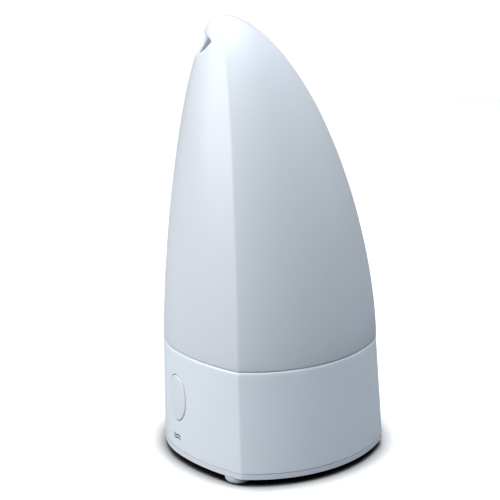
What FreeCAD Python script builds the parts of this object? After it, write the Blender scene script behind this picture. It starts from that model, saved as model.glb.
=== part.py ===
import FreeCAD, Part
import math
import os

# Cool mist humidifier: a ridged, flame-shaped cover that lifts off a base with a water tank.
# Millimetres, +Z up, front faces -Y, origin under the middle of the base on the table top.

V = FreeCAD.Vector
X_AXIS = V(1, 0, 0)
Y_AXIS = V(0, 1, 0)
Z_AXIS = V(0, 0, 1)

# ---- heights of the main pieces, from the table up ----
FOOT_HEIGHT = 4.4
PLATE_THICKNESS = 3.2
HOUSING_HEIGHT = 59.4
COVER_HEIGHT = 184.6

# ---- plan outline at the seam between base and cover, measured from the ridge line ----
FRONT_CORNER_HALF_WIDTH = 57.3
BACK_CORNER_HALF_WIDTH = 19.2
CROWN_DEPTH = 33.0
CROWN_RADIUS = 50.0
CROWN_HALF_ANGLE = 25.0
BACK_CORNER_DEPTH = 86.9
SIDE_BULGE = 16.3
BACK_BULGE = 1.0
RIDGE_RADIUS = 2.0
BASE_FLARE = 1.04

# ---- how the cover narrows towards its tip ----
COVER_FULLNESS = 1.57
COVER_ROUNDING = 0.55
COVER_LEVELS = 12
LEVEL_CROWDING = 1.9

# ---- walls and general clearances ----
COVER_WALL = 2.2
HOUSING_WALL = 2.2
TANK_WALL = 2.0
TANK_FLOOR = 2.4
GUARD_WALL = 1.8
SEAM_CHAMFER = 0.5
SEAM_CHAMFER_HEIGHT = 0.8
MOVING_GAP = 0.35
FIXED_GAP = 0.1
SCREW_FIT = 0.05
OVERSHOOT = 1.0

# ---- mist outlet ----
OUTLET_HALF_WIDTH = 10.0
OUTLET_CORNER_BELOW_TOP = 13.0
OUTLET_RISE = 3.2
OUTLET_DROP = 8.2

# ---- tank ----
DECK_BELOW_SEAM = 3.0
DECK_THICKNESS = 2.0
DECK_CLEARANCE = 0.3
LEDGE_THICKNESS = 2.0
LEDGE_WIDTH = 3.0
RIM_CLEARANCE = 1.1
RIM_ABOVE_SEAM = 12.6
COMPONENT_HEADROOM = 2.4
TANK_FRONT_Y = -40.4
STANDPIPE_BORE_RADIUS = 9.0
STANDPIPE_BELOW_DECK = 3.6
CAP_RADIUS = 13.0
CAP_THICKNESS = 1.2
CAP_LEGS = 3
CAP_LEG_RADIUS = 0.9
CAP_LEG_HEIGHT = 1.6

# ---- splash guard ----
CHIMNEY_FOOT_RADIUS = 17.0
CHIMNEY_TOP_RADIUS = 9.0
CHIMNEY_HEIGHT = 56.0

# ---- mist transducer ----
RETAINER_TO_FAN = 5.0
TRANSDUCER_RADIUS = 10.0
TRANSDUCER_THICKNESS = 1.2
WELL_RADIUS = 8.0
GASKET_RADIUS = 12.5
GASKET_HEIGHT = 4.2
RETAINER_RADIUS = 19.0
RETAINER_THICKNESS = 2.0
RETAINER_SCREWS = 3
RETAINER_SCREW_RADIUS = 16.0
SCREW_BOSS_RADIUS = 3.0

# ---- fan and duct ----
FAN_TO_JACK = 1.155
FAN_SIDE = 40.0
FAN_HEIGHT = 10.0
FAN_CORNER_RADIUS = 3.0
FAN_HOLE_PITCH = 32.0
FAN_STAND_HEIGHT = 3.0
FAN_THROAT_RADIUS = 18.8
FAN_BLADE_TIP_RADIUS = 18.1
FAN_HUB_RADIUS = 9.0
FAN_BLADES = 7
FAN_BLADE_PITCH = 38.0
FAN_BLADE_THICKNESS = 0.9
FAN_BASE_THICKNESS = 1.5
FAN_SPOKES = 3
FAN_SPOKE_WIDTH = 2.0
BEARING_RADIUS = 3.0
SHAFT_RADIUS = 1.0
SHAFT_RUNNING_CLEARANCE = 0.05
DUCT_WALL = 1.2
DUCT_FLANGE = 2.0
DUCT_SHOULDER = 1.0
GRILLE_RADIUS = 16.0
GRILLE_SLOT = 2.2
GRILLE_PITCH = 4.4
GRILLE_SLOTS = 7

# ---- buttons, switches and lamps on the front ----
BUTTON_X = 20.0
BUTTON_ABOVE_PLATE = 31.0
BUTTON_WIDTH = 15.8
BUTTON_HEIGHT = 27.2
BUTTON_PROUD = 0.3
BUTTON_FLANGE_WIDTH = 1.3
BUTTON_FLANGE_THICKNESS = 1.2
BUTTON_STEM_RADIUS = 2.5
BUTTON_TRAVEL = 0.6
LAMP_RADIUS = 1.2
LAMP_PITCH = 12.0
LAMPS_BELOW_BUTTONS = 4.0
LAMP_COUNT = 3
LAMP_LED_RADIUS = 1.5
LAMP_LED_LENGTH = 5.0
LAMP_COLLAR_RADIUS = 1.8
CONTROL_BOARD_FRONT_Y = -44.0
CONTROL_BOARD_HALF_WIDTH = 30.0
CONTROL_BOARD_BOTTOM = 5.0
CONTROL_BOARD_HEIGHT = 44.0
BOARD_THICKNESS = 1.6
SWITCH_SIDE = 6.0
SWITCH_DEPTH = 3.4
PLUNGER_RADIUS = 1.75
PLUNGER_INSERTION = 0.5
PLUNGER_LENGTH = 1.9
PLUNGER_WELL_DEPTH = 1.3

# ---- main board and what stands on it ----
BOARD_HALF_WIDTH = 42.0
BOARD_TO_FAN = 4.0
BOARD_DEPTH = 34.0
BOARD_STAND_HEIGHT = 6.0
BOARD_HOLE_INSET = 4.0
BOARD_POST_RADIUS = 2.6
HEAT_SINK_X = -31.0
HEAT_SINK_Y = -15.0
HEAT_SINK_WIDTH = 16.0
HEAT_SINK_DEPTH = 12.0
HEAT_SINK_HEIGHT = 15.0
HEAT_SINK_BACK = 2.0
HEAT_SINK_FINS = 5
HEAT_SINK_FIN_THICKNESS = 1.2
TRANSISTOR_WIDTH = 10.0
TRANSISTOR_DEPTH = 4.5
TRANSISTOR_HEIGHT = 12.0
CAPACITOR_RADIUS = 4.0
CAPACITOR_HEIGHT = 11.0
CAPACITOR_X = 30.0
CAPACITOR_PITCH = 10.0
INDUCTOR_X = -12.0
INDUCTOR_RADIUS = 5.0
INDUCTOR_BORE_RADIUS = 2.0
INDUCTOR_HEIGHT = 7.0
CHIP_LENGTH = 12.0
CHIP_WIDTH = 8.0
CHIP_HEIGHT = 1.6
CHIP_X = 8.0

# ---- night-light boards under the tank floor ----
LIGHT_BOARD_X = 33.0
LIGHT_BOARD_WIDTH = 9.0
LIGHT_BOARD_LENGTH = 34.0
LIGHT_BOARD_BELOW_FLOOR = 3.4
LIGHT_LED_SIDE = 3.5
LIGHT_LED_HEIGHT = 1.6
LIGHT_LED_PITCH = 8.0
LIGHT_LEDS = 3

# ---- power inlet in the back wall ----
JACK_ABOVE_PLATE = 9.4
JACK_WIDTH = 9.0
JACK_HEIGHT = 11.0
JACK_LENGTH = 13.2
JACK_BORE_RADIUS = 3.2
JACK_BORE_DEPTH = 10.0
JACK_PIN_RADIUS = 1.05
JACK_PIN_RECESS = 1.0
JACK_HOLE_RADIUS = 4.2

# ---- bottom plate, feet and screws ----
REVEAL_HEIGHT = 0.4
REVEAL_DEPTH = 0.6
PLATE_RIM_WALL = 1.6
PLATE_RIM_HEIGHT = 3.0
PLATE_RIM_CLEARANCE = 0.4
FOOT_RADIUS = 7.5
FOOT_EDGE_RADIUS = 2.4
FOOT_RECESS = 0.8
FOOT_FROM_CORNER = 9.7
BACK_FOOT_SIDE_INSET = 2.0
BACK_FOOT_DEPTH_INSET = 9.5
HOUSING_SCREW_FRONT_X = 36.0
HOUSING_SCREW_FRONT_Y = -41.0
HOUSING_SCREW_BACK_X = 36.0
HOUSING_SCREW_BACK_Y = 38.0
HOUSING_BOSS_RADIUS = 4.0
HOUSING_BOSS_HEIGHT = 14.0
HOUSING_WEB = 2.4
SMALL_SCREW_RADIUS = 1.1
SMALL_HEAD_RADIUS = 2.2
SMALL_HEAD_HEIGHT = 1.5
LARGE_SCREW_RADIUS = 1.5
LARGE_HEAD_RADIUS = 2.75
LARGE_HEAD_HEIGHT = 1.8
LEAD_RADIUS = 1.2
LEAD_BEND = 3.0
LEAD_TO_FAN = 5.0
LIGHT_LEAD_INSET = 7.0
RIBBON_X = 8.0
RIBBON_WIDTH = 10.0
RIBBON_THICKNESS = 0.8
RIBBON_RISE = 3.2

# ---- levels that follow from the sizes above ----
plate_bottom_z = FOOT_HEIGHT
plate_top_z = FOOT_HEIGHT + PLATE_THICKNESS
seam_z = plate_top_z + HOUSING_HEIGHT
top_z = seam_z + COVER_HEIGHT
deck_z = seam_z - DECK_BELOW_SEAM
deck_top_z = deck_z + DECK_THICKNESS
rim_top_z = seam_z + RIM_ABOVE_SEAM
standpipe_top_z = deck_z - STANDPIPE_BELOW_DECK
button_z = plate_top_z + BUTTON_ABOVE_PLATE
lamp_z = [button_z - LAMPS_BELOW_BUTTONS + LAMP_PITCH * (i - (LAMP_COUNT - 1) / 2)
          for i in range(LAMP_COUNT)]
jack_z = plate_top_z + JACK_ABOVE_PLATE
board_z = plate_top_z + BOARD_STAND_HEIGHT
board_top_z = board_z + BOARD_THICKNESS
light_board_top_z = board_top_z + HEAT_SINK_HEIGHT + COMPONENT_HEADROOM + BOARD_THICKNESS
floor_z = light_board_top_z + LIGHT_BOARD_BELOW_FLOOR
floor_top_z = floor_z + TANK_FLOOR
fan_z = plate_top_z + FAN_STAND_HEIGHT
fan_top_z = fan_z + FAN_HEIGHT
duct_flange_top_z = fan_top_z + DUCT_FLANGE
retainer_z = floor_z - GASKET_HEIGHT - RETAINER_THICKNESS

# ---- plan positions that follow ----
outline_depth = CROWN_DEPTH + BACK_CORNER_DEPTH + BACK_BULGE
crown_y = -outline_depth * BASE_FLARE / 2
seam_ridge_y = crown_y + CROWN_DEPTH
rim_inset = COVER_WALL + RIM_CLEARANCE
deck_inset = HOUSING_WALL + DECK_CLEARANCE
ledge_inset = HOUSING_WALL + LEDGE_WIDTH
basin_inset = ledge_inset + DECK_CLEARANCE
guard_inset = rim_inset + TANK_WALL + MOVING_GAP


def save(name, shape):
    """Write one sub-part to parts/NAME.step."""
    shape.exportStep("parts/" + name + ".step")


def box(x0, x1, y0, y1, z0, z1):
    return Part.makeBox(x1 - x0, y1 - y0, z1 - z0, V(x0, y0, z0))


def rod(radius, start, end):
    axis = end.sub(start)
    return Part.makeCylinder(radius, axis.Length, start, axis)


def post(radius, x, y, z0, z1):
    return Part.makeCylinder(radius, z1 - z0, V(x, y, z0), Z_AXIS)


def fuse(shapes):
    return shapes[0].fuse(shapes[1:]).removeSplitter()


def sharp_outline():
    """The plan outline with sharp corners: crown, two flanks, two sides and the back, all arcs."""
    half_angle = math.radians(CROWN_HALF_ANGLE)
    flank_start = V(CROWN_RADIUS * math.sin(half_angle),
                    CROWN_RADIUS * (1 - math.cos(half_angle)) - CROWN_DEPTH, 0)
    corner = V(FRONT_CORNER_HALF_WIDTH, 0, 0)
    inward = V(-math.sin(half_angle), math.cos(half_angle), 0)
    chord = corner.sub(flank_start)
    flank_radius = chord.dot(chord) / (2 * chord.dot(inward))
    flank_centre = flank_start.add(inward * flank_radius)
    chord_middle = (flank_start + corner) * 0.5
    outward = chord_middle.sub(flank_centre).normalize()
    flank_middle = flank_centre.add(outward * flank_radius)
    back_corner = V(BACK_CORNER_HALF_WIDTH, BACK_CORNER_DEPTH, 0)
    side = back_corner.sub(corner)
    side_outward = V(side.y, -side.x, 0).normalize()
    side_middle = (corner + back_corner) * 0.5 + side_outward * SIDE_BULGE

    def mirrored(p):
        return V(-p.x, p.y, 0)

    arcs = [
        (mirrored(flank_start), V(0, -CROWN_DEPTH, 0), flank_start),
        (flank_start, flank_middle, corner),
        (corner, side_middle, back_corner),
        (back_corner, V(0, BACK_CORNER_DEPTH + BACK_BULGE, 0), mirrored(back_corner)),
        (mirrored(back_corner), mirrored(side_middle), mirrored(corner)),
        (mirrored(corner), mirrored(flank_middle), mirrored(flank_start)),
    ]
    return Part.Wire([Part.Arc(*points).toShape() for points in arcs])


SHARP_OUTLINE = sharp_outline()


def outline(inset, scale, z, ridge_y):
    """The outline moved in by inset, its corners rounded, then scaled about the ridge line."""
    shrunk = SHARP_OUTLINE.makeOffset2D(-(inset + RIDGE_RADIUS), join=2)
    rounded = shrunk.makeOffset2D(RIDGE_RADIUS, join=0)
    placed = rounded.scaled(scale, V(0, 0, 0))
    placed.translate(V(0, ridge_y, z))
    return placed


def prism(inset, z0, z1):
    """Straight-sided slab on the seam outline."""
    face = Part.Face(outline(inset, 1.0, z0, seam_ridge_y))
    return face.extrude(V(0, 0, z1 - z0))


def flare_at(z):
    """Scale of the base outline at a height: 1 at the seam, BASE_FLARE at the bottom plate."""
    return 1 + (BASE_FLARE - 1) * (seam_z - z) / (seam_z - plate_top_z)


def base_outline(inset, z):
    """Outline of the base at a height. The front crown line stays upright."""
    scale = flare_at(z)
    return outline(inset / scale, scale, z, crown_y + CROWN_DEPTH * scale)


def base_solid(inset, z0, z1):
    return Part.makeLoft([base_outline(inset, z0), base_outline(inset, z1)], True, True)


def base_back_y(z):
    return crown_y + outline_depth * flare_at(z)


def jack_front_y():
    return base_back_y(jack_z + JACK_HEIGHT / 2) - HOUSING_WALL - BACK_BULGE - FIXED_GAP


# ---- the row of pieces from the back wall forward: inlet, fan, main board and transducer ----
jack_y = jack_front_y()
jack_back_y = jack_y - JACK_LENGTH
fan_y = jack_back_y - FAN_TO_JACK - FAN_SIDE / 2
board_back_y = fan_y - FAN_SIDE / 2 - BOARD_TO_FAN
board_front_y = board_back_y - BOARD_DEPTH
transducer_y = fan_y - FAN_SIDE / 2 - RETAINER_TO_FAN - RETAINER_RADIUS


def cover_scale(t):
    """Plan scale of the cover at a share t of its height."""
    return (1 - t ** COVER_FULLNESS) ** COVER_ROUNDING


def cover_solid(inset, height):
    """The closed cover shape, moved in by inset, from the seam to a rounded tip."""
    sections = []
    for i in range(COVER_LEVELS):
        t = 1 - (1 - i / COVER_LEVELS) ** LEVEL_CROWDING
        sections.append(outline(inset, cover_scale(t), seam_z + t * height, seam_ridge_y))
    sections.append(Part.Vertex(0, seam_ridge_y, seam_z + height))
    return Part.makeLoft(sections, True, False)


def outlet_cutter():
    """Eye-shaped prism through the front wall: a shallow upper arc over a deeper lower one."""
    corner_z = top_z - OUTLET_CORNER_BELOW_TOP
    y = crown_y
    left = V(-OUTLET_HALF_WIDTH, y, corner_z)
    right = V(OUTLET_HALF_WIDTH, y, corner_z)
    upper = Part.Arc(left, V(0, y, corner_z + OUTLET_RISE), right).toShape()
    lower = Part.Arc(right, V(0, y, corner_z - OUTLET_DROP), left).toShape()
    return Part.Face(Part.Wire([upper, lower])).extrude(V(0, seam_ridge_y - crown_y, 0))


def make_mist_cover():
    outer = cover_solid(0, COVER_HEIGHT)
    inner = cover_solid(COVER_WALL, COVER_HEIGHT - COVER_WALL)
    return outer.cut(inner).cut(outlet_cutter())


def oval_prism(grow, x, y0, y1):
    """Upright oval prism along Y at the height of the buttons."""
    half_width = BUTTON_WIDTH / 2 + grow
    half_height = BUTTON_HEIGHT / 2 + grow
    centre = V(x, y0, button_z)
    oval = Part.Ellipse(centre.add(V(0, 0, half_height)), centre.add(V(half_width, 0, 0)), centre)
    return Part.Face(Part.Wire(oval.toShape())).extrude(V(0, y1 - y0, 0))


def front_posts(radius, end_y):
    """Posts behind the front wall that carry the control board."""
    solids = []
    for z in control_board_screw_heights():
        solids.append(rod(radius, V(0, crown_y + HOUSING_WALL / 2, z), V(0, end_y, z)))
    return solids


def control_board_screw_heights():
    low = plate_top_z + CONTROL_BOARD_BOTTOM
    return [low + BOARD_HOLE_INSET, low + CONTROL_BOARD_HEIGHT - BOARD_HOLE_INSET]


def housing_screw_places():
    return [V(sx * x, y, 0) for x, y in ((HOUSING_SCREW_FRONT_X, HOUSING_SCREW_FRONT_Y),
                                         (HOUSING_SCREW_BACK_X, HOUSING_SCREW_BACK_Y)) for sx in (-1, 1)]


def make_base_housing():
    chamfer_z = seam_z - SEAM_CHAMFER_HEIGHT
    body = base_solid(0, plate_top_z, chamfer_z)
    chamfer = Part.makeLoft([base_outline(0, chamfer_z), base_outline(SEAM_CHAMFER, seam_z)], True, True)
    outer = fuse([body, chamfer])
    hollow = base_solid(HOUSING_WALL, plate_top_z, seam_z)
    ledge = prism(HOUSING_WALL / 2, deck_z - LEDGE_THICKNESS, deck_z)
    ledge = ledge.cut(prism(ledge_inset, deck_z - LEDGE_THICKNESS, deck_z))
    pieces = [outer.cut(hollow), ledge]
    boss_z = plate_top_z + PLATE_RIM_CLEARANCE
    for place in housing_screw_places():
        boss = post(HOUSING_BOSS_RADIUS, place.x, place.y, boss_z, boss_z + HOUSING_BOSS_HEIGHT)
        web_length = FRONT_CORNER_HALF_WIDTH / 2
        web = box(0, web_length, -HOUSING_WEB / 2, HOUSING_WEB / 2,
                  boss_z + PLATE_RIM_HEIGHT, boss_z + HOUSING_BOSS_HEIGHT)
        web.rotate(V(0, 0, 0), Z_AXIS, math.degrees(math.atan2(place.y, place.x)))
        web.translate(place)
        pieces.append(fuse([boss, web]).common(outer))
    pieces.extend(front_posts(SCREW_BOSS_RADIUS, CONTROL_BOARD_FRONT_Y))
    housing = fuse(pieces)
    cutters = []
    for side in (-1, 1):
        cutters.append(oval_prism(MOVING_GAP, side * BUTTON_X, crown_y - OVERSHOOT, CONTROL_BOARD_FRONT_Y))
    for z in lamp_z:
        cutters.append(rod(LAMP_RADIUS, V(0, crown_y - OVERSHOOT, z), V(0, crown_y + 2 * HOUSING_WALL, z)))
    jack_wall = base_back_y(jack_z)
    cutters.append(rod(JACK_HOLE_RADIUS, V(0, jack_wall - 2 * HOUSING_WALL, jack_z),
                       V(0, jack_wall + OVERSHOOT, jack_z)))
    for place in housing_screw_places():
        cutters.append(post(LARGE_SCREW_RADIUS + SCREW_FIT, place.x, place.y, boss_z,
                            boss_z + HOUSING_BOSS_HEIGHT - HOUSING_WEB))
    for z in control_board_screw_heights():
        cutters.append(rod(SMALL_SCREW_RADIUS + SCREW_FIT, V(0, crown_y + 2 * HOUSING_WALL, z),
                           V(0, CONTROL_BOARD_FRONT_Y, z)))
    for cutter in cutters:
        housing = housing.cut(cutter)
    return housing


def polar(radius, count, centre_y):
    """Points on a circle about (0, centre_y), the first one towards +X."""
    return [V(radius * math.cos(2 * math.pi * i / count),
              centre_y + radius * math.sin(2 * math.pi * i / count), 0) for i in range(count)]


def retainer_screw_places():
    return polar(RETAINER_SCREW_RADIUS, RETAINER_SCREWS, transducer_y)


def light_board_stand_places(side):
    reach = LIGHT_BOARD_LENGTH / 2 - BOARD_HOLE_INSET
    x = side * LIGHT_BOARD_X
    return [V(x, transducer_y - reach, 0), V(x, transducer_y + reach, 0)]


def make_water_tank():
    """Basin with a level deck, a raised rim, the air standpipe and the transducer well."""
    front_cut = box(-FRONT_CORNER_HALF_WIDTH * 2, FRONT_CORNER_HALF_WIDTH * 2,
                    2 * crown_y, TANK_FRONT_Y, floor_z - OVERSHOOT, deck_z)
    basin = prism(basin_inset, floor_z, deck_z).cut(front_cut)
    deck = prism(deck_inset, deck_z, deck_top_z)
    rim = prism(rim_inset, deck_top_z, rim_top_z)
    inner_front_cut = box(-FRONT_CORNER_HALF_WIDTH * 2, FRONT_CORNER_HALF_WIDTH * 2,
                          2 * crown_y, TANK_FRONT_Y + TANK_WALL, floor_z, deck_top_z)
    water = prism(basin_inset + TANK_WALL, floor_top_z, deck_top_z).cut(inner_front_cut)
    rim_bore = prism(rim_inset + TANK_WALL, deck_top_z, rim_top_z)
    tank = fuse([basin, deck, rim]).cut(water).cut(rim_bore)
    pipe = post(STANDPIPE_BORE_RADIUS + TANK_WALL, 0, fan_y, floor_z, standpipe_top_z)
    bosses = []
    for place in retainer_screw_places():
        bosses.append(post(SCREW_BOSS_RADIUS, place.x, place.y, floor_z - GASKET_HEIGHT, floor_z))
    for side in (-1, 1):
        for place in light_board_stand_places(side):
            bosses.append(post(SCREW_BOSS_RADIUS, place.x, place.y, light_board_top_z, floor_z))
    tank = fuse([tank, pipe] + bosses)
    tank = tank.cut(post(STANDPIPE_BORE_RADIUS, 0, fan_y, floor_z, standpipe_top_z))
    tank = tank.cut(post(WELL_RADIUS, 0, transducer_y, floor_z, floor_top_z))
    for place in retainer_screw_places():
        tank = tank.cut(post(SMALL_SCREW_RADIUS + SCREW_FIT, place.x, place.y,
                             floor_z - GASKET_HEIGHT, floor_z))
    for side in (-1, 1):
        for place in light_board_stand_places(side):
            tank = tank.cut(post(SMALL_SCREW_RADIUS + SCREW_FIT, place.x, place.y,
                                 light_board_top_z, floor_z))
    return tank


def make_standpipe_cap():
    """Low cap on three legs that keeps splashes out of the air standpipe."""
    leg_ring = STANDPIPE_BORE_RADIUS + TANK_WALL / 2
    cap_z = standpipe_top_z + CAP_LEG_HEIGHT
    pieces = [post(CAP_RADIUS, 0, fan_y, cap_z, cap_z + CAP_THICKNESS)]
    for place in polar(leg_ring, CAP_LEGS, fan_y):
        pieces.append(post(CAP_LEG_RADIUS, place.x, place.y, standpipe_top_z, cap_z))
    return fuse(pieces)


def make_splash_guard():
    """Flat lid over the tank with a tapering chimney above the transducer."""
    lid_top_z = deck_top_z + GUARD_WALL
    lid = prism(guard_inset, deck_top_z, lid_top_z)
    foot = V(0, transducer_y, deck_top_z)
    height = CHIMNEY_HEIGHT + GUARD_WALL
    outer = Part.makeCone(CHIMNEY_FOOT_RADIUS, CHIMNEY_TOP_RADIUS, height, foot, Z_AXIS)
    bore = Part.makeCone(CHIMNEY_FOOT_RADIUS - GUARD_WALL, CHIMNEY_TOP_RADIUS - GUARD_WALL, height,
                         foot, Z_AXIS)
    return fuse([lid, outer]).cut(bore)


def make_transducer_disc():
    z = floor_z - GASKET_HEIGHT / 2 - TRANSDUCER_THICKNESS / 2
    return post(TRANSDUCER_RADIUS, 0, transducer_y, z, z + TRANSDUCER_THICKNESS)


def make_transducer_gasket():
    z = floor_z - GASKET_HEIGHT
    ring = post(GASKET_RADIUS, 0, transducer_y, z, floor_z)
    well = post(WELL_RADIUS, 0, transducer_y, z, floor_z)
    return ring.cut(well).cut(make_transducer_disc())


def make_retainer_plate():
    top = retainer_z + RETAINER_THICKNESS
    plate = post(RETAINER_RADIUS, 0, transducer_y, retainer_z, top)
    plate = plate.cut(post(WELL_RADIUS, 0, transducer_y, retainer_z, top))
    for place in retainer_screw_places():
        plate = plate.cut(post(SMALL_SCREW_RADIUS + SCREW_FIT, place.x, place.y, retainer_z, top))
    return plate


def screw(head_radius, head_height, shank_radius, shank_length, seat, direction):
    """Pan-head screw whose head sits on seat and whose shank runs along direction."""
    head = Part.makeCylinder(head_radius, head_height, seat.sub(direction * head_height), direction)
    shank = Part.makeCylinder(shank_radius, shank_length, seat, direction)
    slot = head_radius / 2
    recess = Part.makeCylinder(slot, head_height / 2, seat.sub(direction * head_height), direction)
    return fuse([head, shank]).cut(recess)


def small_screw(length, seat, direction):
    return screw(SMALL_HEAD_RADIUS, SMALL_HEAD_HEIGHT, SMALL_SCREW_RADIUS, length, seat, direction)


def large_screw(length, seat, direction):
    return screw(LARGE_HEAD_RADIUS, LARGE_HEAD_HEIGHT, LARGE_SCREW_RADIUS, length, seat, direction)


def make_retainer_screws():
    length = RETAINER_THICKNESS + GASKET_HEIGHT - FIXED_GAP
    return Part.makeCompound([small_screw(length, V(p.x, p.y, retainer_z), Z_AXIS)
                              for p in retainer_screw_places()])


def fan_hole_places():
    half = FAN_HOLE_PITCH / 2
    return [V(sx * half, fan_y + sy * half, 0) for sx in (-1, 1) for sy in (-1, 1)]


def square_slab(side, z0, z1):
    slab = box(-side / 2, side / 2, fan_y - side / 2, fan_y + side / 2, z0, z1)
    uprights = [e for e in slab.Edges if abs(e.Vertexes[0].Z - e.Vertexes[1].Z) > OVERSHOOT]
    return slab.makeFillet(FAN_CORNER_RADIUS, uprights)


def make_fan_frame():
    """Square frame with a round throat and a motor base held by three spokes."""
    frame = square_slab(FAN_SIDE, fan_z, fan_top_z).cut(post(FAN_THROAT_RADIUS, 0, fan_y, fan_z, fan_top_z))
    base = post(FAN_HUB_RADIUS, 0, fan_y, fan_z, fan_z + FAN_BASE_THICKNESS)
    tube = post(BEARING_RADIUS, 0, fan_y, fan_z, fan_top_z - 2 * FAN_BASE_THICKNESS - MOVING_GAP)
    pieces = [frame, base, tube]
    for i in range(FAN_SPOKES):
        spoke = box(0, FAN_THROAT_RADIUS + OVERSHOOT, -FAN_SPOKE_WIDTH / 2, FAN_SPOKE_WIDTH / 2,
                    fan_z, fan_z + FAN_BASE_THICKNESS)
        spoke.rotate(V(0, 0, 0), Z_AXIS, 90 + 360 * i / FAN_SPOKES)
        spoke.translate(V(0, fan_y, 0))
        pieces.append(spoke)
    frame = fuse(pieces)
    bore = post(SHAFT_RADIUS + SHAFT_RUNNING_CLEARANCE, 0, fan_y, fan_z + FAN_BASE_THICKNESS, fan_top_z)
    frame = frame.cut(bore)
    for place in fan_hole_places():
        frame = frame.cut(post(LARGE_SCREW_RADIUS + SCREW_FIT, place.x, place.y, fan_z, fan_top_z))
    return frame


def make_fan_rotor():
    """Hub cup with a steel shaft and seven pitched blades."""
    hub_top = fan_top_z - FAN_BASE_THICKNESS
    hub_bottom = fan_z + FAN_BASE_THICKNESS + 2 * MOVING_GAP
    hub = post(FAN_HUB_RADIUS, 0, fan_y, hub_bottom, hub_top)
    cup = post(FAN_HUB_RADIUS - FAN_BASE_THICKNESS, 0, fan_y, hub_bottom, hub_top - FAN_BASE_THICKNESS)
    shaft = post(SHAFT_RADIUS, 0, fan_y, fan_z + FAN_BASE_THICKNESS + MOVING_GAP, hub_top)
    pieces = [hub.cut(cup), shaft]
    blade_height = hub_top - hub_bottom
    reach = post(FAN_BLADE_TIP_RADIUS, 0, 0, hub_bottom, hub_top).cut(
        post(FAN_HUB_RADIUS - FAN_BASE_THICKNESS / 2, 0, 0, hub_bottom, hub_top))
    for i in range(FAN_BLADES):
        blade = box(0, FAN_BLADE_TIP_RADIUS + OVERSHOOT, -FAN_BLADE_THICKNESS / 2, FAN_BLADE_THICKNESS / 2,
                    -blade_height, blade_height)
        blade.rotate(V(0, 0, 0), X_AXIS, FAN_BLADE_PITCH)
        blade.translate(V(0, 0, (hub_bottom + hub_top) / 2))
        blade = blade.common(reach)
        blade.rotate(V(0, 0, 0), Z_AXIS, 360 * i / FAN_BLADES)
        blade.translate(V(0, fan_y, 0))
        pieces.append(blade)
    return fuse(pieces)


def make_air_duct():
    """Funnel from the square fan up into the standpipe of the tank."""
    neck_radius = STANDPIPE_BORE_RADIUS - FIXED_GAP
    shoulder = neck_radius + DUCT_SHOULDER
    cone_top = floor_z - 2 * DUCT_WALL
    cone_foot = FAN_THROAT_RADIUS
    pieces = [
        square_slab(FAN_SIDE, fan_top_z, duct_flange_top_z),
        Part.makeCone(cone_foot, shoulder, cone_top - fan_top_z, V(0, fan_y, fan_top_z), Z_AXIS),
        post(shoulder, 0, fan_y, cone_top, floor_z),
        post(neck_radius, 0, fan_y, floor_z, floor_top_z),
    ]
    duct = fuse(pieces)
    bore = fuse([
        Part.makeCone(cone_foot - DUCT_WALL, neck_radius - DUCT_WALL, cone_top - fan_top_z,
                      V(0, fan_y, fan_top_z), Z_AXIS),
        post(neck_radius - DUCT_WALL, 0, fan_y, cone_top, floor_top_z),
    ])
    duct = duct.cut(bore)
    for place in fan_hole_places():
        duct = duct.cut(post(LARGE_SCREW_RADIUS + SCREW_FIT, place.x, place.y, fan_top_z, duct_flange_top_z))
        head = LARGE_HEAD_RADIUS + FIXED_GAP
        duct = duct.cut(post(head, place.x, place.y, duct_flange_top_z, floor_z))
    return duct


def make_fan_screws():
    length = DUCT_FLANGE + FAN_HEIGHT + FAN_STAND_HEIGHT
    return Part.makeCompound([large_screw(length, V(p.x, p.y, duct_flange_top_z), V(0, 0, -1))
                              for p in fan_hole_places()])


def make_button(side):
    """Oval key: a face that follows the wall, a flange behind the wall and a stem to the switch."""
    x = side * BUTTON_X
    back_y = CONTROL_BOARD_FRONT_Y
    flange_front = HOUSING_WALL + MOVING_GAP
    flange_back = flange_front + BUTTON_FLANGE_THICKNESS
    low = button_z - BUTTON_HEIGHT
    high = button_z + BUTTON_HEIGHT
    core = base_solid(flange_back, low, high)
    face = oval_prism(0, x, crown_y - OVERSHOOT, back_y)
    face = face.common(base_solid(-BUTTON_PROUD, low, high)).cut(core)
    flange = oval_prism(BUTTON_FLANGE_WIDTH, x, crown_y, back_y)
    flange = flange.common(base_solid(flange_front, low, high)).cut(core)
    stem = rod(BUTTON_STEM_RADIUS, V(x, crown_y, button_z), V(x, plunger_tip_y(), button_z))
    stem = stem.common(base_solid(flange_front, low, high))
    return fuse([face, flange, stem])


def switch_front_y():
    return CONTROL_BOARD_FRONT_Y - SWITCH_DEPTH


def plunger_tip_y():
    return switch_front_y() + PLUNGER_INSERTION - PLUNGER_LENGTH


def make_switch_plunger(side):
    x = side * BUTTON_X
    tip_y = plunger_tip_y()
    return rod(PLUNGER_RADIUS, V(x, tip_y, button_z), V(x, tip_y + PLUNGER_LENGTH, button_z))


def make_switch_body(side):
    x = side * BUTTON_X
    half = SWITCH_SIDE / 2
    body = box(x - half, x + half, switch_front_y(), CONTROL_BOARD_FRONT_Y, button_z - half, button_z + half)
    well = rod(PLUNGER_RADIUS + MOVING_GAP, V(x, switch_front_y(), button_z),
               V(x, switch_front_y() + PLUNGER_WELL_DEPTH, button_z))
    return body.cut(well)


def make_control_board():
    low = plate_top_z + CONTROL_BOARD_BOTTOM
    back_y = CONTROL_BOARD_FRONT_Y + BOARD_THICKNESS
    board = box(-CONTROL_BOARD_HALF_WIDTH, CONTROL_BOARD_HALF_WIDTH, CONTROL_BOARD_FRONT_Y, back_y,
                low, low + CONTROL_BOARD_HEIGHT)
    for z in control_board_screw_heights():
        board = board.cut(rod(SMALL_SCREW_RADIUS + SCREW_FIT, V(0, CONTROL_BOARD_FRONT_Y, z),
                              V(0, back_y, z)))
    return board


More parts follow.
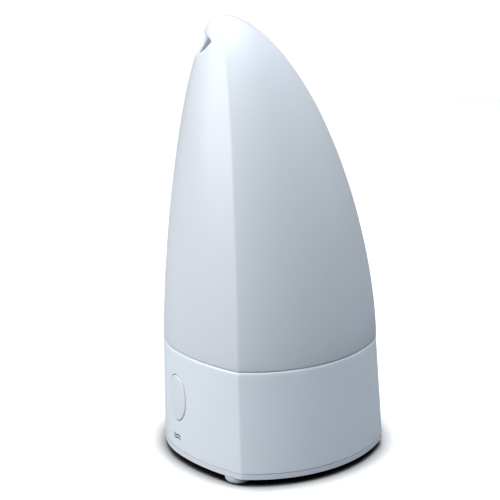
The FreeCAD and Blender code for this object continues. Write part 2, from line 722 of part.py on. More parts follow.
def make_control_board_screws():
    back_y = CONTROL_BOARD_FRONT_Y + BOARD_THICKNESS
    length = BOARD_THICKNESS + 3 * SMALL_SCREW_RADIUS
    return Part.makeCompound([small_screw(length, V(0, back_y, z), V(0, -1, 0))
                              for z in control_board_screw_heights()])


def lamp_led_tip_y():
    return CONTROL_BOARD_FRONT_Y - LAMP_LED_LENGTH


def make_indicator_leds():
    solids = []
    for z in lamp_z:
        neck = V(0, lamp_led_tip_y() + LAMP_LED_RADIUS, z)
        barrel = rod(LAMP_LED_RADIUS, neck, V(0, CONTROL_BOARD_FRONT_Y, z))
        solids.append(fuse([barrel, Part.makeSphere(LAMP_LED_RADIUS, neck)]))
    return Part.makeCompound(solids)


def make_indicator_light_pipes():
    """Clear rods from each lamp to a small round window, flush with the front wall."""
    radius = LAMP_RADIUS - FIXED_GAP / 2
    wall_back = crown_y + HOUSING_WALL + FIXED_GAP
    solids = []
    for z in lamp_z:
        rod_part = rod(radius, V(0, crown_y + FIXED_GAP, z), V(0, lamp_led_tip_y() - FIXED_GAP, z))
        collar_part = rod(LAMP_COLLAR_RADIUS, V(0, wall_back, z), V(0, wall_back + LAMP_RADIUS, z))
        solids.append(fuse([rod_part, collar_part]))
    return Part.makeCompound(solids)


def main_board_hole_places():
    x = BOARD_HALF_WIDTH - BOARD_HOLE_INSET
    return [V(sx * x, y, 0) for y in (board_front_y + BOARD_HOLE_INSET, board_back_y - BOARD_HOLE_INSET)
            for sx in (-1, 1)]


def make_main_board():
    board = box(-BOARD_HALF_WIDTH, BOARD_HALF_WIDTH, board_front_y, board_back_y, board_z, board_top_z)
    for place in main_board_hole_places():
        board = board.cut(post(SMALL_SCREW_RADIUS + SCREW_FIT, place.x, place.y, board_z, board_top_z))
    return board


def make_main_board_screws():
    length = BOARD_THICKNESS + BOARD_STAND_HEIGHT - FIXED_GAP
    return Part.makeCompound([small_screw(length, V(p.x, p.y, board_top_z), V(0, 0, -1))
                              for p in main_board_hole_places()])


def make_heat_sink():
    """Aluminium block: a back plate and a row of upright fins."""
    x0 = HEAT_SINK_X - HEAT_SINK_WIDTH / 2
    y0 = HEAT_SINK_Y - HEAT_SINK_DEPTH / 2
    top = board_top_z + HEAT_SINK_HEIGHT
    pieces = [box(x0, x0 + HEAT_SINK_WIDTH, y0, y0 + HEAT_SINK_BACK, board_top_z, top)]
    step = (HEAT_SINK_WIDTH - HEAT_SINK_FIN_THICKNESS) / (HEAT_SINK_FINS - 1)
    for i in range(HEAT_SINK_FINS):
        fin_x = x0 + i * step
        pieces.append(box(fin_x, fin_x + HEAT_SINK_FIN_THICKNESS, y0, y0 + HEAT_SINK_DEPTH, board_top_z, top))
    return fuse(pieces)


def make_power_transistor():
    y1 = HEAT_SINK_Y - HEAT_SINK_DEPTH / 2
    half = TRANSISTOR_WIDTH / 2
    return box(HEAT_SINK_X - half, HEAT_SINK_X + half, y1 - TRANSISTOR_DEPTH, y1,
               board_top_z, board_top_z + TRANSISTOR_HEIGHT)


def make_capacitors():
    middle_y = (board_front_y + board_back_y) / 2
    return Part.makeCompound([post(CAPACITOR_RADIUS, CAPACITOR_X, middle_y + side * CAPACITOR_PITCH / 2,
                                   board_top_z, board_top_z + CAPACITOR_HEIGHT) for side in (-1, 1)])


def make_inductor():
    y = (board_front_y + board_back_y) / 2
    top = board_top_z + INDUCTOR_HEIGHT
    return post(INDUCTOR_RADIUS, INDUCTOR_X, y, board_top_z, top).cut(
        post(INDUCTOR_BORE_RADIUS, INDUCTOR_X, y, board_top_z, top))


def make_controller_chip():
    y = (board_front_y + board_back_y) / 2
    return box(CHIP_X - CHIP_LENGTH / 2, CHIP_X + CHIP_LENGTH / 2, y - CHIP_WIDTH / 2, y + CHIP_WIDTH / 2,
               board_top_z, board_top_z + CHIP_HEIGHT)


def make_light_board(side):
    top = light_board_top_z
    x = side * LIGHT_BOARD_X
    board = box(x - LIGHT_BOARD_WIDTH / 2, x + LIGHT_BOARD_WIDTH / 2, transducer_y - LIGHT_BOARD_LENGTH / 2,
                transducer_y + LIGHT_BOARD_LENGTH / 2, top - BOARD_THICKNESS, top)
    for place in light_board_stand_places(side):
        board = board.cut(post(SMALL_SCREW_RADIUS + SCREW_FIT, place.x, place.y, top - BOARD_THICKNESS, top))
    return board


def make_light_leds():
    half = LIGHT_LED_SIDE / 2
    top = light_board_top_z
    solids = []
    for side in (-1, 1):
        for i in range(LIGHT_LEDS):
            x = side * LIGHT_BOARD_X
            y = transducer_y + (i - (LIGHT_LEDS - 1) / 2) * LIGHT_LED_PITCH
            solids.append(box(x - half, x + half, y - half, y + half, top, top + LIGHT_LED_HEIGHT))
    return Part.makeCompound(solids)


def make_light_board_screws():
    seat_z = light_board_top_z - BOARD_THICKNESS
    length = BOARD_THICKNESS + LIGHT_BOARD_BELOW_FLOOR - FIXED_GAP
    return Part.makeCompound([small_screw(length, V(p.x, p.y, seat_z), Z_AXIS)
                              for side in (-1, 1) for p in light_board_stand_places(side)])


def make_dc_jack():
    """Barrel socket: a block with a round bore and its centre pin."""
    y1 = jack_y
    block = box(-JACK_WIDTH / 2, JACK_WIDTH / 2, y1 - JACK_LENGTH, y1,
                jack_z - JACK_HEIGHT / 2, jack_z + JACK_HEIGHT / 2)
    bore = rod(JACK_BORE_RADIUS, V(0, y1 - JACK_BORE_DEPTH, jack_z), V(0, y1, jack_z))
    pin = rod(JACK_PIN_RADIUS, V(0, y1 - JACK_BORE_DEPTH, jack_z), V(0, y1 - JACK_PIN_RECESS, jack_z))
    return fuse([block.cut(bore), pin])


def foot_places():
    """Foot centres: near the two front corners and inside the two back corners of the plate."""
    scale = BASE_FLARE
    front_x = FRONT_CORNER_HALF_WIDTH * scale - FOOT_FROM_CORNER
    front_y = crown_y + CROWN_DEPTH * scale
    back_x = BACK_CORNER_HALF_WIDTH * scale - BACK_FOOT_SIDE_INSET
    back_y = base_back_y(plate_top_z) - BACK_BULGE - BACK_FOOT_DEPTH_INSET
    return {
        "foot_front_left": V(-front_x, front_y, 0),
        "foot_front_right": V(front_x, front_y, 0),
        "foot_back_left": V(-back_x, back_y, 0),
        "foot_back_right": V(back_x, back_y, 0),
    }


def make_foot(place):
    foot = post(FOOT_RADIUS, place.x, place.y, 0, FOOT_HEIGHT + FOOT_RECESS)
    bottom_edge = [e for e in foot.Edges if e.Closed and e.Vertexes[0].Z < FOOT_RECESS]
    return foot.makeFillet(FOOT_EDGE_RADIUS, bottom_edge)


def plate_solid(inset, z0, z1):
    """Slab on the outline that the base has where it meets the bottom plate."""
    wire = base_outline(inset, plate_top_z)
    wire.translate(V(0, 0, z0 - plate_top_z))
    return Part.Face(wire).extrude(V(0, 0, z1 - z0))


def make_bottom_plate():
    """Plate with a locating rim, an air grille, stands for fan and boards, and a cradle for the inlet."""
    reveal_z = plate_top_z - REVEAL_HEIGHT
    rim_outer = HOUSING_WALL + PLATE_RIM_CLEARANCE
    rim_top = plate_top_z + PLATE_RIM_HEIGHT
    rim = plate_solid(rim_outer, plate_top_z, rim_top)
    rim = rim.cut(plate_solid(rim_outer + PLATE_RIM_WALL, plate_top_z, rim_top))
    pieces = [plate_solid(0, plate_bottom_z, reveal_z), plate_solid(REVEAL_DEPTH, reveal_z, plate_top_z), rim]
    for place in fan_hole_places():
        pieces.append(post(BOARD_POST_RADIUS, place.x, place.y, plate_top_z, fan_z))
    for place in main_board_hole_places():
        pieces.append(post(BOARD_POST_RADIUS, place.x, place.y, plate_top_z, board_z))
    pieces.append(box(-JACK_WIDTH / 2, JACK_WIDTH / 2, jack_y - JACK_LENGTH, jack_y - PLATE_RIM_WALL,
                      plate_top_z, jack_z - JACK_HEIGHT / 2))
    plate = fuse(pieces)
    for i in range(GRILLE_SLOTS):
        offset = (i - (GRILLE_SLOTS - 1) / 2) * GRILLE_PITCH
        half_length = math.sqrt(GRILLE_RADIUS ** 2 - offset ** 2)
        plate = plate.cut(box(-half_length, half_length, fan_y + offset - GRILLE_SLOT / 2,
                              fan_y + offset + GRILLE_SLOT / 2, plate_bottom_z, plate_top_z))
    for place in foot_places().values():
        plate = plate.cut(post(FOOT_RADIUS, place.x, place.y, plate_bottom_z, plate_bottom_z + FOOT_RECESS))
    for place in housing_screw_places():
        plate = plate.cut(post(LARGE_HEAD_RADIUS + FIXED_GAP, place.x, place.y, plate_bottom_z,
                               plate_bottom_z + LARGE_HEAD_HEIGHT))
        plate = plate.cut(post(LARGE_SCREW_RADIUS + SCREW_FIT, place.x, place.y, plate_bottom_z, plate_top_z))
        boss_gap = HOUSING_BOSS_RADIUS + PLATE_RIM_CLEARANCE
        plate = plate.cut(post(boss_gap, place.x, place.y, plate_top_z, rim_top))
    for place in fan_hole_places():
        plate = plate.cut(post(LARGE_SCREW_RADIUS + SCREW_FIT, place.x, place.y, plate_top_z, fan_z))
    for place in main_board_hole_places():
        plate = plate.cut(post(SMALL_SCREW_RADIUS + SCREW_FIT, place.x, place.y, plate_top_z, board_z))
    return plate


def make_housing_screws():
    seat_z = plate_bottom_z + LARGE_HEAD_HEIGHT
    length = HOUSING_BOSS_HEIGHT - 2 * HOUSING_WEB
    return Part.makeCompound([large_screw(length, V(p.x, p.y, seat_z), Z_AXIS)
                              for p in housing_screw_places()])


def lead(points):
    """Insulated wire along straight runs joined by round bends."""
    edges = []
    start = points[0]
    for before, corner, after in zip(points, points[1:], points[2:]):
        into = corner.sub(before).normalize()
        out = after.sub(corner).normalize()
        half_turn = into.getAngle(out) / 2
        trim = LEAD_BEND * math.tan(half_turn)
        bend_start = corner.sub(into * trim)
        bend_end = corner.add(out * trim)
        centre_way = out.sub(into).normalize()
        centre = corner.add(centre_way * (LEAD_BEND / math.cos(half_turn)))
        bend_middle = centre.sub(centre_way * LEAD_BEND)
        edges.append(Part.LineSegment(start, bend_start).toShape())
        edges.append(Part.Arc(bend_start, bend_middle, bend_end).toShape())
        start = bend_end
    edges.append(Part.LineSegment(start, points[-1]).toShape())
    path = Part.Wire(edges)
    first_run = points[1].sub(points[0])
    section = Part.Wire(Part.makeCircle(LEAD_RADIUS, points[0], first_run))
    return path.makePipeShell([section], True, True)


def make_jack_lead():
    """From the side of the inlet, round the fan, down to the back edge of the main board."""
    y = jack_y - JACK_LENGTH / 2
    x = FAN_SIDE / 2 + LEAD_TO_FAN
    z = fan_top_z - LEAD_RADIUS
    end_y = board_back_y - BOARD_HOLE_INSET
    return lead([V(JACK_WIDTH / 2, y, z), V(x, y, z), V(x, end_y, z), V(x, end_y, board_top_z)])


def make_fan_lead():
    """From the side of the fan frame down to the back edge of the main board."""
    y = fan_y - FAN_SIDE / 4
    x = -FAN_SIDE / 2 - LEAD_TO_FAN
    z = fan_top_z - LEAD_RADIUS
    end_y = board_back_y - BOARD_HOLE_INSET
    return lead([V(-FAN_SIDE / 2, y, z), V(x, y, z), V(x, end_y, z), V(x, end_y, board_top_z)])


def make_transducer_lead():
    """From the underside of the transducer, through its retainer, to the main board."""
    x0 = WELL_RADIUS / 2
    x1 = (CHIP_X + CHIP_LENGTH / 2 + CAPACITOR_X - CAPACITOR_RADIUS) / 2
    disc_z = floor_z - GASKET_HEIGHT / 2 - TRANSDUCER_THICKNESS / 2
    bend_z = (retainer_z + board_top_z) / 2
    return lead([V(x0, transducer_y, disc_z), V(x0, transducer_y, bend_z),
                 V(x1, transducer_y, bend_z), V(x1, transducer_y, board_top_z)])


def make_light_leads():
    """Straight lead from each night-light board down to the main board."""
    top = light_board_top_z - BOARD_THICKNESS
    y = board_front_y + LIGHT_LEAD_INSET
    return Part.makeCompound([post(LEAD_RADIUS, side * LIGHT_BOARD_X, y, board_top_z, top)
                              for side in (-1, 1)])


def make_ribbon_cable():
    """Flat cable between the control board and the main board."""
    y0 = CONTROL_BOARD_FRONT_Y + BOARD_THICKNESS
    y1 = board_front_y + BOARD_HOLE_INSET
    z = board_top_z + RIBBON_RISE
    level = box(RIBBON_X, RIBBON_X + RIBBON_WIDTH, y0, y1, z, z + RIBBON_THICKNESS)
    drop = box(RIBBON_X, RIBBON_X + RIBBON_WIDTH, y1 - RIBBON_THICKNESS, y1, board_top_z, z)
    return fuse([level, drop])


def build():
    os.makedirs("parts", exist_ok=True)
    save("mist_cover", make_mist_cover())
    save("splash_guard", make_splash_guard())
    save("base_housing", make_base_housing())
    save("water_tank", make_water_tank())
    save("standpipe_cap", make_standpipe_cap())
    save("transducer_disc", make_transducer_disc())
    save("transducer_gasket", make_transducer_gasket())
    save("transducer_retainer", make_retainer_plate())
    save("retainer_screws", make_retainer_screws())
    save("fan_frame", make_fan_frame())
    save("fan_rotor", make_fan_rotor())
    save("air_duct", make_air_duct())
    save("fan_screws", make_fan_screws())
    for side, name in ((1, "mist"), (-1, "light")):
        save(name + "_button", make_button(side))
        save(name + "_switch_plunger", make_switch_plunger(side))
        save(name + "_switch_body", make_switch_body(side))
    save("control_board", make_control_board())
    save("control_board_screws", make_control_board_screws())
    save("indicator_leds", make_indicator_leds())
    save("indicator_light_pipes", make_indicator_light_pipes())
    save("main_board", make_main_board())
    save("main_board_screws", make_main_board_screws())
    save("heat_sink", make_heat_sink())
    save("power_transistor", make_power_transistor())
    save("capacitors", make_capacitors())
    save("inductor", make_inductor())
    save("controller_chip", make_controller_chip())
    for side, name in ((1, "right"), (-1, "left")):
        save("light_board_" + name, make_light_board(side))
    save("light_leds", make_light_leds())
    save("light_board_screws", make_light_board_screws())
    save("dc_jack", make_dc_jack())
    save("jack_lead", make_jack_lead())
    save("fan_lead", make_fan_lead())
    save("transducer_lead", make_transducer_lead())
    save("light_leads", make_light_leads())
    save("ribbon_cable", make_ribbon_cable())
    save("bottom_plate", make_bottom_plate())
    save("housing_screws", make_housing_screws())
    for name, place in foot_places().items():
        save(name, make_foot(place))


build()
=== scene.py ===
import math

import bmesh
import bpy
import numpy as np
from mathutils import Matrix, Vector
from mathutils.geometry import delaunay_2d_cdt


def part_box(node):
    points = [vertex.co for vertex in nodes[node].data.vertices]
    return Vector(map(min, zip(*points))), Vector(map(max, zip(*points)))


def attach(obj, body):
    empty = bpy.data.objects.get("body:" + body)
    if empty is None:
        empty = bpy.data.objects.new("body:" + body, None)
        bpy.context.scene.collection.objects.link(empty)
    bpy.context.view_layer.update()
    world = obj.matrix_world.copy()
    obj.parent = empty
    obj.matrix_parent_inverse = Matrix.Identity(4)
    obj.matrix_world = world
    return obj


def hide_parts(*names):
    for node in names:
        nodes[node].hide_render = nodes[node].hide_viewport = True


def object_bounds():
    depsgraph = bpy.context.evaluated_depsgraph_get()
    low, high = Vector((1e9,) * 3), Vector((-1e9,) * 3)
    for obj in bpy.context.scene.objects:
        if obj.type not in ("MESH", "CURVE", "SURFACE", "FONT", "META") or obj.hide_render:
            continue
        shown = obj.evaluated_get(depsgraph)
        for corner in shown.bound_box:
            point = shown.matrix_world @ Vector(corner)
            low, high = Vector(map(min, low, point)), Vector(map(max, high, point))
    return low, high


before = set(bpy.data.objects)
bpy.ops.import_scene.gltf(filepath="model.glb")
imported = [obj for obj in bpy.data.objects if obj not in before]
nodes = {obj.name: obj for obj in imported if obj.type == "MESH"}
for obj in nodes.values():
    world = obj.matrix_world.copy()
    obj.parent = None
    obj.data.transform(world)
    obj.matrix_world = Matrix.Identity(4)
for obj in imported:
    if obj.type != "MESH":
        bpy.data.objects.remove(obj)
cad_low, cad_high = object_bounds()

# ---- Base housing ----
# The glossy white wall of the base: injection-moulded ABS, flaring slightly towards the table,
# with four soft upright ridges, a chamfered top edge, two oval key openings and three lamp holes.
mm = 0.001
housing_low, housing_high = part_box("base_housing")
plate_top = housing_low.z
seam = housing_high.z
front_crown_y = cad_low.y

crown_depth = 33.0 * mm
crown_radius = 50.0 * mm
crown_half_angle = math.radians(25)
front_corner_x = 57.3 * mm
back_corner_x = 19.2 * mm
back_corner_depth = 86.9 * mm
side_bulge = 16.3 * mm
back_bulge = 1.0 * mm
ridge_rounding = 0.9 * mm
base_flare = 1.04


def arc(centre, radius, start, end, trim_start=0.0, trim_end=0.0, step=0.05 * mm):
    """Points on an arc, with a length left off at either end."""
    a = start + trim_start / radius
    b = end - trim_end / radius
    count = max(int(abs(b - a) * radius / step), 8)
    angles = np.linspace(a, b, count)
    return np.column_stack([centre[0] + radius * np.cos(angles), centre[1] + radius * np.sin(angles)])


def angle_of(centre, point):
    return math.atan2(point[1] - centre[1], point[0] - centre[0])


def soft_corner(before, corner, after, count=24):
    """A short curve that rounds the corner between two arcs."""
    t = np.linspace(0, 1, count)[1:-1, None]
    return (1 - t) ** 2 * before + 2 * t * (1 - t) * corner + t ** 2 * after


def half_outline():
    """The right half of the plan outline, from the front crown round to the middle of the back."""
    crown_centre = np.array([0, crown_radius - crown_depth])
    outward = np.array([math.sin(crown_half_angle), -math.cos(crown_half_angle)])
    flank_start = crown_centre + crown_radius * outward
    front_corner = np.array([front_corner_x, 0.0])
    inward = -outward
    chord = front_corner - flank_start
    flank_radius = chord @ chord / (2 * chord @ inward)
    flank_centre = flank_start + inward * flank_radius
    back_corner = np.array([back_corner_x, back_corner_depth])
    side = back_corner - front_corner
    side_length = np.linalg.norm(side)
    side_out = np.array([side[1], -side[0]]) / side_length
    side_radius = side_length ** 2 / (8 * side_bulge) + side_bulge / 2
    side_centre = (front_corner + back_corner) / 2 - side_out * (side_radius - side_bulge)
    back_radius = (back_corner_x ** 2 + back_bulge ** 2) / (2 * back_bulge)
    back_centre = np.array([0, back_corner_depth + back_bulge - back_radius])
    crown = arc(crown_centre, crown_radius, -math.pi / 2, -math.pi / 2 + crown_half_angle)
    flank = arc(flank_centre, flank_radius, angle_of(flank_centre, flank_start),
                angle_of(flank_centre, front_corner), 0, ridge_rounding)
    flanks_end = flank[-1]
    sides = arc(side_centre, side_radius, angle_of(side_centre, front_corner),
                angle_of(side_centre, back_corner), ridge_rounding, ridge_rounding)
    back = arc(back_centre, back_radius, angle_of(back_centre, back_corner), math.pi / 2, ridge_rounding, 0)
    return np.vstack([
        crown[:-1], flank,
        soft_corner(flanks_end, front_corner, sides[0]), sides,
        soft_corner(sides[-1], back_corner, back[0]), back,
    ])


outline_points = half_outline()
outline_steps = np.linalg.norm(np.diff(outline_points, axis=0), axis=1)
outline_run = np.concatenate([[0], np.cumsum(outline_steps)])
half_length = outline_run[-1]


def plan(run):
    """Plan point at a signed distance along the outline from the front crown."""
    x = np.interp(np.abs(run), outline_run, outline_points[:, 0]) * np.sign(run)
    y = np.interp(np.abs(run), outline_run, outline_points[:, 1])
    return x, y


corner_index = int(np.argmin(np.abs(outline_points[:, 1]) + np.abs(outline_points[:, 0] - front_corner_x)))


def run_at_x(x):
    """Distance along the front of the outline at a sideways place."""
    front_x = outline_points[:corner_index + 1, 0]
    return np.interp(np.abs(x), front_x, outline_run[:corner_index + 1]) * np.sign(x)


def flare(z):
    """How much wider the wall is at a height than at the seam."""
    return 1 + (base_flare - 1) * (seam - z) / (seam - plate_top)


def base_place(run, z):
    """Points of the outer wall at distances along the outline and heights."""
    x, y = plan(run)
    scale = flare(z)
    return np.stack([x * scale, front_crown_y + (y + crown_depth) * scale, z + 0 * x], axis=-1)


def surface_normal(place, run, height, step_run=0.25 * mm, step_height=0.25 * mm):
    """Outward normal of a surface given by place(run, height)."""
    ahead = (run + step_run + half_length) % (2 * half_length) - half_length
    behind = (run - step_run + half_length) % (2 * half_length) - half_length
    along = place(ahead, height) - place(behind, height)
    up = place(run, height + step_height) - place(run, height - step_height)
    normal = np.cross(along, up)
    length = np.linalg.norm(normal, axis=-1, keepdims=True)
    return normal / np.maximum(length, 1e-12)


def outline_columns(spacing):
    """Runs for the columns of a wall: even on the faces and close together at the ridges."""
    fine = 0.3 * mm
    reach = 1.5 * mm
    turns = []
    for corner in ((front_corner_x, 0.0), (back_corner_x, back_corner_depth)):
        away = np.hypot(outline_points[:, 0] - corner[0], outline_points[:, 1] - corner[1])
        turns.append(outline_run[int(np.argmin(away))])
    stops = [0.0]
    for turn in turns:
        stops.extend([turn - reach, turn + reach])
    stops.append(half_length)
    half = []
    for i, (a, b) in enumerate(zip(stops, stops[1:])):
        size = fine if i % 2 else spacing
        count = max(int(round((b - a) / size)), 2)
        half.extend(np.linspace(a, b, count + 1)[:-1])
    half.append(half_length)
    half = np.array(half)
    return np.concatenate([-half[:0:-1], half[:-1]])


def inside(points, loop):
    """Which points lie inside a closed loop."""
    x, y = points[:, 0:1], points[:, 1:2]
    a, b = loop, np.roll(loop, -1, axis=0)
    crosses = (a[:, 1] > y) != (b[:, 1] > y)
    rise = np.where(b[:, 1] == a[:, 1], 1e-12, b[:, 1] - a[:, 1])
    at = a[:, 0] + (y - a[:, 1]) * (b[:, 0] - a[:, 0]) / rise
    return (crosses & (x < at)).sum(axis=1) % 2 == 1


def lattice(columns, rows, holes, closed=True):
    """Flat mesh over columns and rows, cut round holes.

    Each hole is a list of (loop, depth): loops run outwards from the rim, and depth says how far
    the rounded lip lies below the surface there. Returns points, their depths and the faces."""
    count = len(columns)
    points = [(c, r) for r in rows for c in columns]
    depths = [0.0] * len(points)
    faces = []
    blocks = []
    for hole in holes:
        outer = hole[-1][0]
        i0 = int(np.searchsorted(columns, outer[:, 0].min())) - 2
        i1 = int(np.searchsorted(columns, outer[:, 0].max())) + 1
        j0 = max(int(np.searchsorted(rows, outer[:, 1].min())) - 2, 0)
        j1 = min(int(np.searchsorted(rows, outer[:, 1].max())) + 1, len(rows) - 1)
        blocks.append((i0, i1, j0, j1, hole))
    last = count if closed else count - 1
    for j in range(len(rows) - 1):
        for i in range(last):
            if any(i0 <= i < i1 and j0 <= j < j1 for i0, i1, j0, j1, _ in blocks):
                continue
            k = (i + 1) % count
            faces.append((j * count + i, j * count + k, (j + 1) * count + k, (j + 1) * count + i))
    for i0, i1, j0, j1, hole in blocks:
        ids, flat, edges = [], [], []
        border = [(i, j0) for i in range(i0, i1)] + [(i1, j) for j in range(j0, j1)]
        border += [(i, j1) for i in range(i1, i0, -1)] + [(i0, j) for j in range(j1, j0, -1)]
        for n, (i, j) in enumerate(border):
            ids.append(j * count + i)
            flat.append(points[j * count + i])
            edges.append((n, (n + 1) % len(border)))
        for loop, depth in hole:
            first = len(flat)
            for n, p in enumerate(loop):
                ids.append(len(points))
                points.append(tuple(p))
                depths.append(depth)
                flat.append(tuple(p))
                edges.append((first + n, first + (n + 1) % len(loop)))
        widest = hole[-1][0]
        middle = widest.mean(axis=0)
        margin = middle + (widest - middle) * 1.04
        for j in range(j0 + 1, j1):
            for i in range(i0 + 1, i1):
                p = np.array([points[j * count + i]])
                if not inside(p, margin)[0]:
                    ids.append(j * count + i)
                    flat.append(points[j * count + i])
        result = delaunay_2d_cdt([Vector(p) for p in flat], edges, [], 0, 1e-9)
        made = [ids[sources[0]] for sources in result[3]]
        rim = hole[0][0]
        for face in result[2]:
            middle = np.mean([result[0][v] for v in face], axis=0)
            if not inside(middle[None, :], rim)[0]:
                faces.append(tuple(made[v] for v in face))
    return np.array(points), np.array(depths), faces


def thick_shell(name, outer, normals, depths, wall, faces):
    """Mesh of a wall: an outer skin with rounded lips, an inner skin, and the rims between them."""
    skin = outer - normals * depths[:, None]
    back = outer - normals * wall
    used = sorted({v for face in faces for v in face})
    order = {v: i for i, v in enumerate(used)}
    size = len(used)
    made = [tuple(order[v] for v in face) for face in faces]
    open_edges = {}
    for face in made:
        for a, b in zip(face, face[1:] + face[:1]):
            if (b, a) in open_edges:
                del open_edges[(b, a)]
            else:
                open_edges[(a, b)] = True
    polygons = list(made)
    polygons += [tuple(v + size for v in reversed(face)) for face in made]
    polygons += [(b, a, a + size, b + size) for a, b in open_edges]
    mesh = bpy.data.meshes.new(name)
    mesh.from_pydata(np.vstack([skin[used], back[used]]).tolist(), [], polygons)
    return finish_mesh(name, mesh)


def finish_mesh(name, mesh, sharp_angle=38):
    """Cleans a mesh, shades it smooth with sharp edges kept, and puts it in the scene."""
    mesh.validate()
    mesh.update()
    mesh.polygons.foreach_set("use_smooth", [True] * len(mesh.polygons))
    mesh.set_sharp_from_angle(angle=math.radians(sharp_angle))
    piece = bpy.data.objects.new(name, mesh)
    bpy.context.scene.collection.objects.link(piece)
    return piece


def lip_rings(loop, normals, radius, map_to_flat, steps=4):
    """Loops from a hole's rim outwards with the depth of a quarter-round lip at each."""
    rings = []
    for i in range(steps + 1):
        out = radius * (1 - math.cos(math.pi / 2 * i / steps))
        depth = radius * (1 - math.sin(math.pi / 2 * i / steps))
        rings.append((map_to_flat(loop + normals * out), depth))
    return rings


def oval(centre_x, centre_z, half_width, half_height, count=72):
    """Points and outward normals of an upright oval on the front."""
    a = np.linspace(0, 2 * math.pi, count, endpoint=False)
    loop = np.column_stack([centre_x + half_width * np.cos(a), centre_z + half_height * np.sin(a)])
    normals = np.column_stack([np.cos(a) / half_width, np.sin(a) / half_height])
    return loop, normals / np.linalg.norm(normals, axis=1)[:, None]


def front_to_flat(points):
    """From (x, z) on the front of the base to (run, z)."""
    return np.column_stack([run_at_x(points[:, 0] / flare(points[:, 1])), points[:, 1]])


housing_wall = 2.2 * mm
seam_chamfer = 0.5 * mm
key_low, key_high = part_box("mist_button")
key_gap = 0.35 * mm
key_flange = 1.2 * mm
key_half_width = (key_high.x - key_low.x) / 2 - key_flange
key_half_height = (key_high.z - key_low.z) / 2 - key_flange
key_x = (key_low.x + key_high.x) / 2
key_z = (key_low.z + key_high.z) / 2
key_hole_lip = 0.45 * mm
pipe_low, pipe_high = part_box("indicator_light_pipes")
lamp_radius = 1.2 * mm
lamp_pitch = 12.0 * mm
lamp_z = [(pipe_low.z + pipe_high.z) / 2 + lamp_pitch * i for i in (-1, 0, 1)]
lamp_hole_lip = 0.2 * mm
seam_edge = 0.9 * mm
lower_edge = 0.3 * mm
shadow_gap = 0.18 * mm
column_spacing = 1.8 * mm

base_columns = outline_columns(column_spacing)
rows_above_plate = np.array([0, 0.12, 0.3, 0.6]) * mm
rows_below_seam = np.array([0.9, 0.62, 0.35, 0.15, 0]) * mm
base_rows = np.concatenate([
    plate_top + rows_above_plate,
    np.linspace(plate_top + 2.2 * mm, seam - 2.4 * mm, 30),
    seam - rows_below_seam])
holes = []
for side in (-1, 1):
    loop, normals = oval(side * key_x, key_z, key_half_width + key_gap, key_half_height + key_gap)
    holes.append(lip_rings(loop, normals, key_hole_lip, front_to_flat))
for z in lamp_z:
    loop, normals = oval(0, z, lamp_radius, lamp_radius, 28)
    holes.append(lip_rings(loop, normals, lamp_hole_lip, front_to_flat))

flat, depths, faces = lattice(base_columns, base_rows, holes)
into_seam = np.clip((flat[:, 1] - (seam - seam_edge)) / seam_edge, 0, 1)
into_gap = np.clip(((plate_top + lower_edge) - flat[:, 1]) / lower_edge, 0, 1)
depths = depths + seam_chamfer * into_seam ** 1.6 + shadow_gap * into_gap ** 2
outer = base_place(flat[:, 0], flat[:, 1])
normals = surface_normal(base_place, flat[:, 0], flat[:, 1])
housing = thick_shell("base_housing_wall", outer, normals, depths, housing_wall, faces)


def linear(hex_colour):
    """An sRGB hex colour as linear red, green, blue and alpha."""
    channels = [int(hex_colour[i:i + 2], 16) / 255 for i in (1, 3, 5)]
    return [c / 12.92 if c <= 0.04045 else ((c + 0.055) / 1.055) ** 2.4 for c in channels] + [1.0]


def add_node(material, kind, inputs, **settings):
    """Adds a node with its settings; an input is a value or another node's output."""
    node = material.node_tree.nodes.new(kind)
    for name, value in settings.items():
        setattr(node, name, value)
    for socket, value in inputs.items():
        if isinstance(value, bpy.types.NodeSocket):
            material.node_tree.links.new(value, node.inputs[socket])
        else:
            node.inputs[socket].default_value = value
    return node


def new_material(name):
    material = bpy.data.materials.new(name)
    material.use_nodes = True
    material.node_tree.nodes.clear()
    return material


def moulded_plastic(name, colour, shade, roughness, grain=0.6 * mm, relief=0.004 * mm, **extra):
    """Injection-moulded plastic: faint cloudiness in the colour and a fine moulding grain."""
    material = new_material(name)
    place = add_node(material, "ShaderNodeTexCoord", {}).outputs["Object"]
    cloud = add_node(material, "ShaderNodeTexNoise", {
        "Vector": place, "Scale": 1 / (30 * mm), "Detail": 2.0})
    tint = add_node(material, "ShaderNodeMix", {
        "Factor": cloud.outputs["Fac"], 6: linear(colour), 7: linear(shade)}, data_type="RGBA")
    fine = add_node(material, "ShaderNodeTexNoise", {"Vector": place, "Scale": 1 / grain, "Detail": 3.0})
    rough = add_node(material, "ShaderNodeMapRange", {
        "Value": fine.outputs["Fac"], "To Min": roughness * 0.9, "To Max": roughness * 1.1})
    bump = add_node(material, "ShaderNodeBump", {
        "Height": fine.outputs["Fac"], "Distance": relief, "Strength": 0.6})
    shader = add_node(material, "ShaderNodeBsdfPrincipled", {
        "Base Color": tint.outputs[2], "Roughness": rough.outputs[0], "Normal": bump.outputs[0],
        "IOR": 1.53, **extra})
    add_node(material, "ShaderNodeOutputMaterial", {"Surface": shader.outputs[0]})
    return material


def dress(piece, material, body, slot=None, *replaced):
    """Gives a piece its material and body, and hides the nodes that it stands for."""
    piece.data.materials.clear()
    piece.data.materials.append(material)
    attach(piece, body)
    if replaced:
        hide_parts(*replaced)


# ABS moulded against polished steel: a clear, slightly soft reflection.
gloss_abs = moulded_plastic("gloss white ABS", "#DEE4E9", "#D9DFE5", 0.2)
dress(housing, gloss_abs, "base", "housing_abs", "base_housing")

# ---- Bottom plate ----
# A satin white ABS plate screwed under the wall. Its edge shows as a thin strip below a fine
# shadow gap, and slots under the fan let the air in.
satin_abs = moulded_plastic("satin white ABS", "#DDDFE8", "#D5D8E2", 0.34)


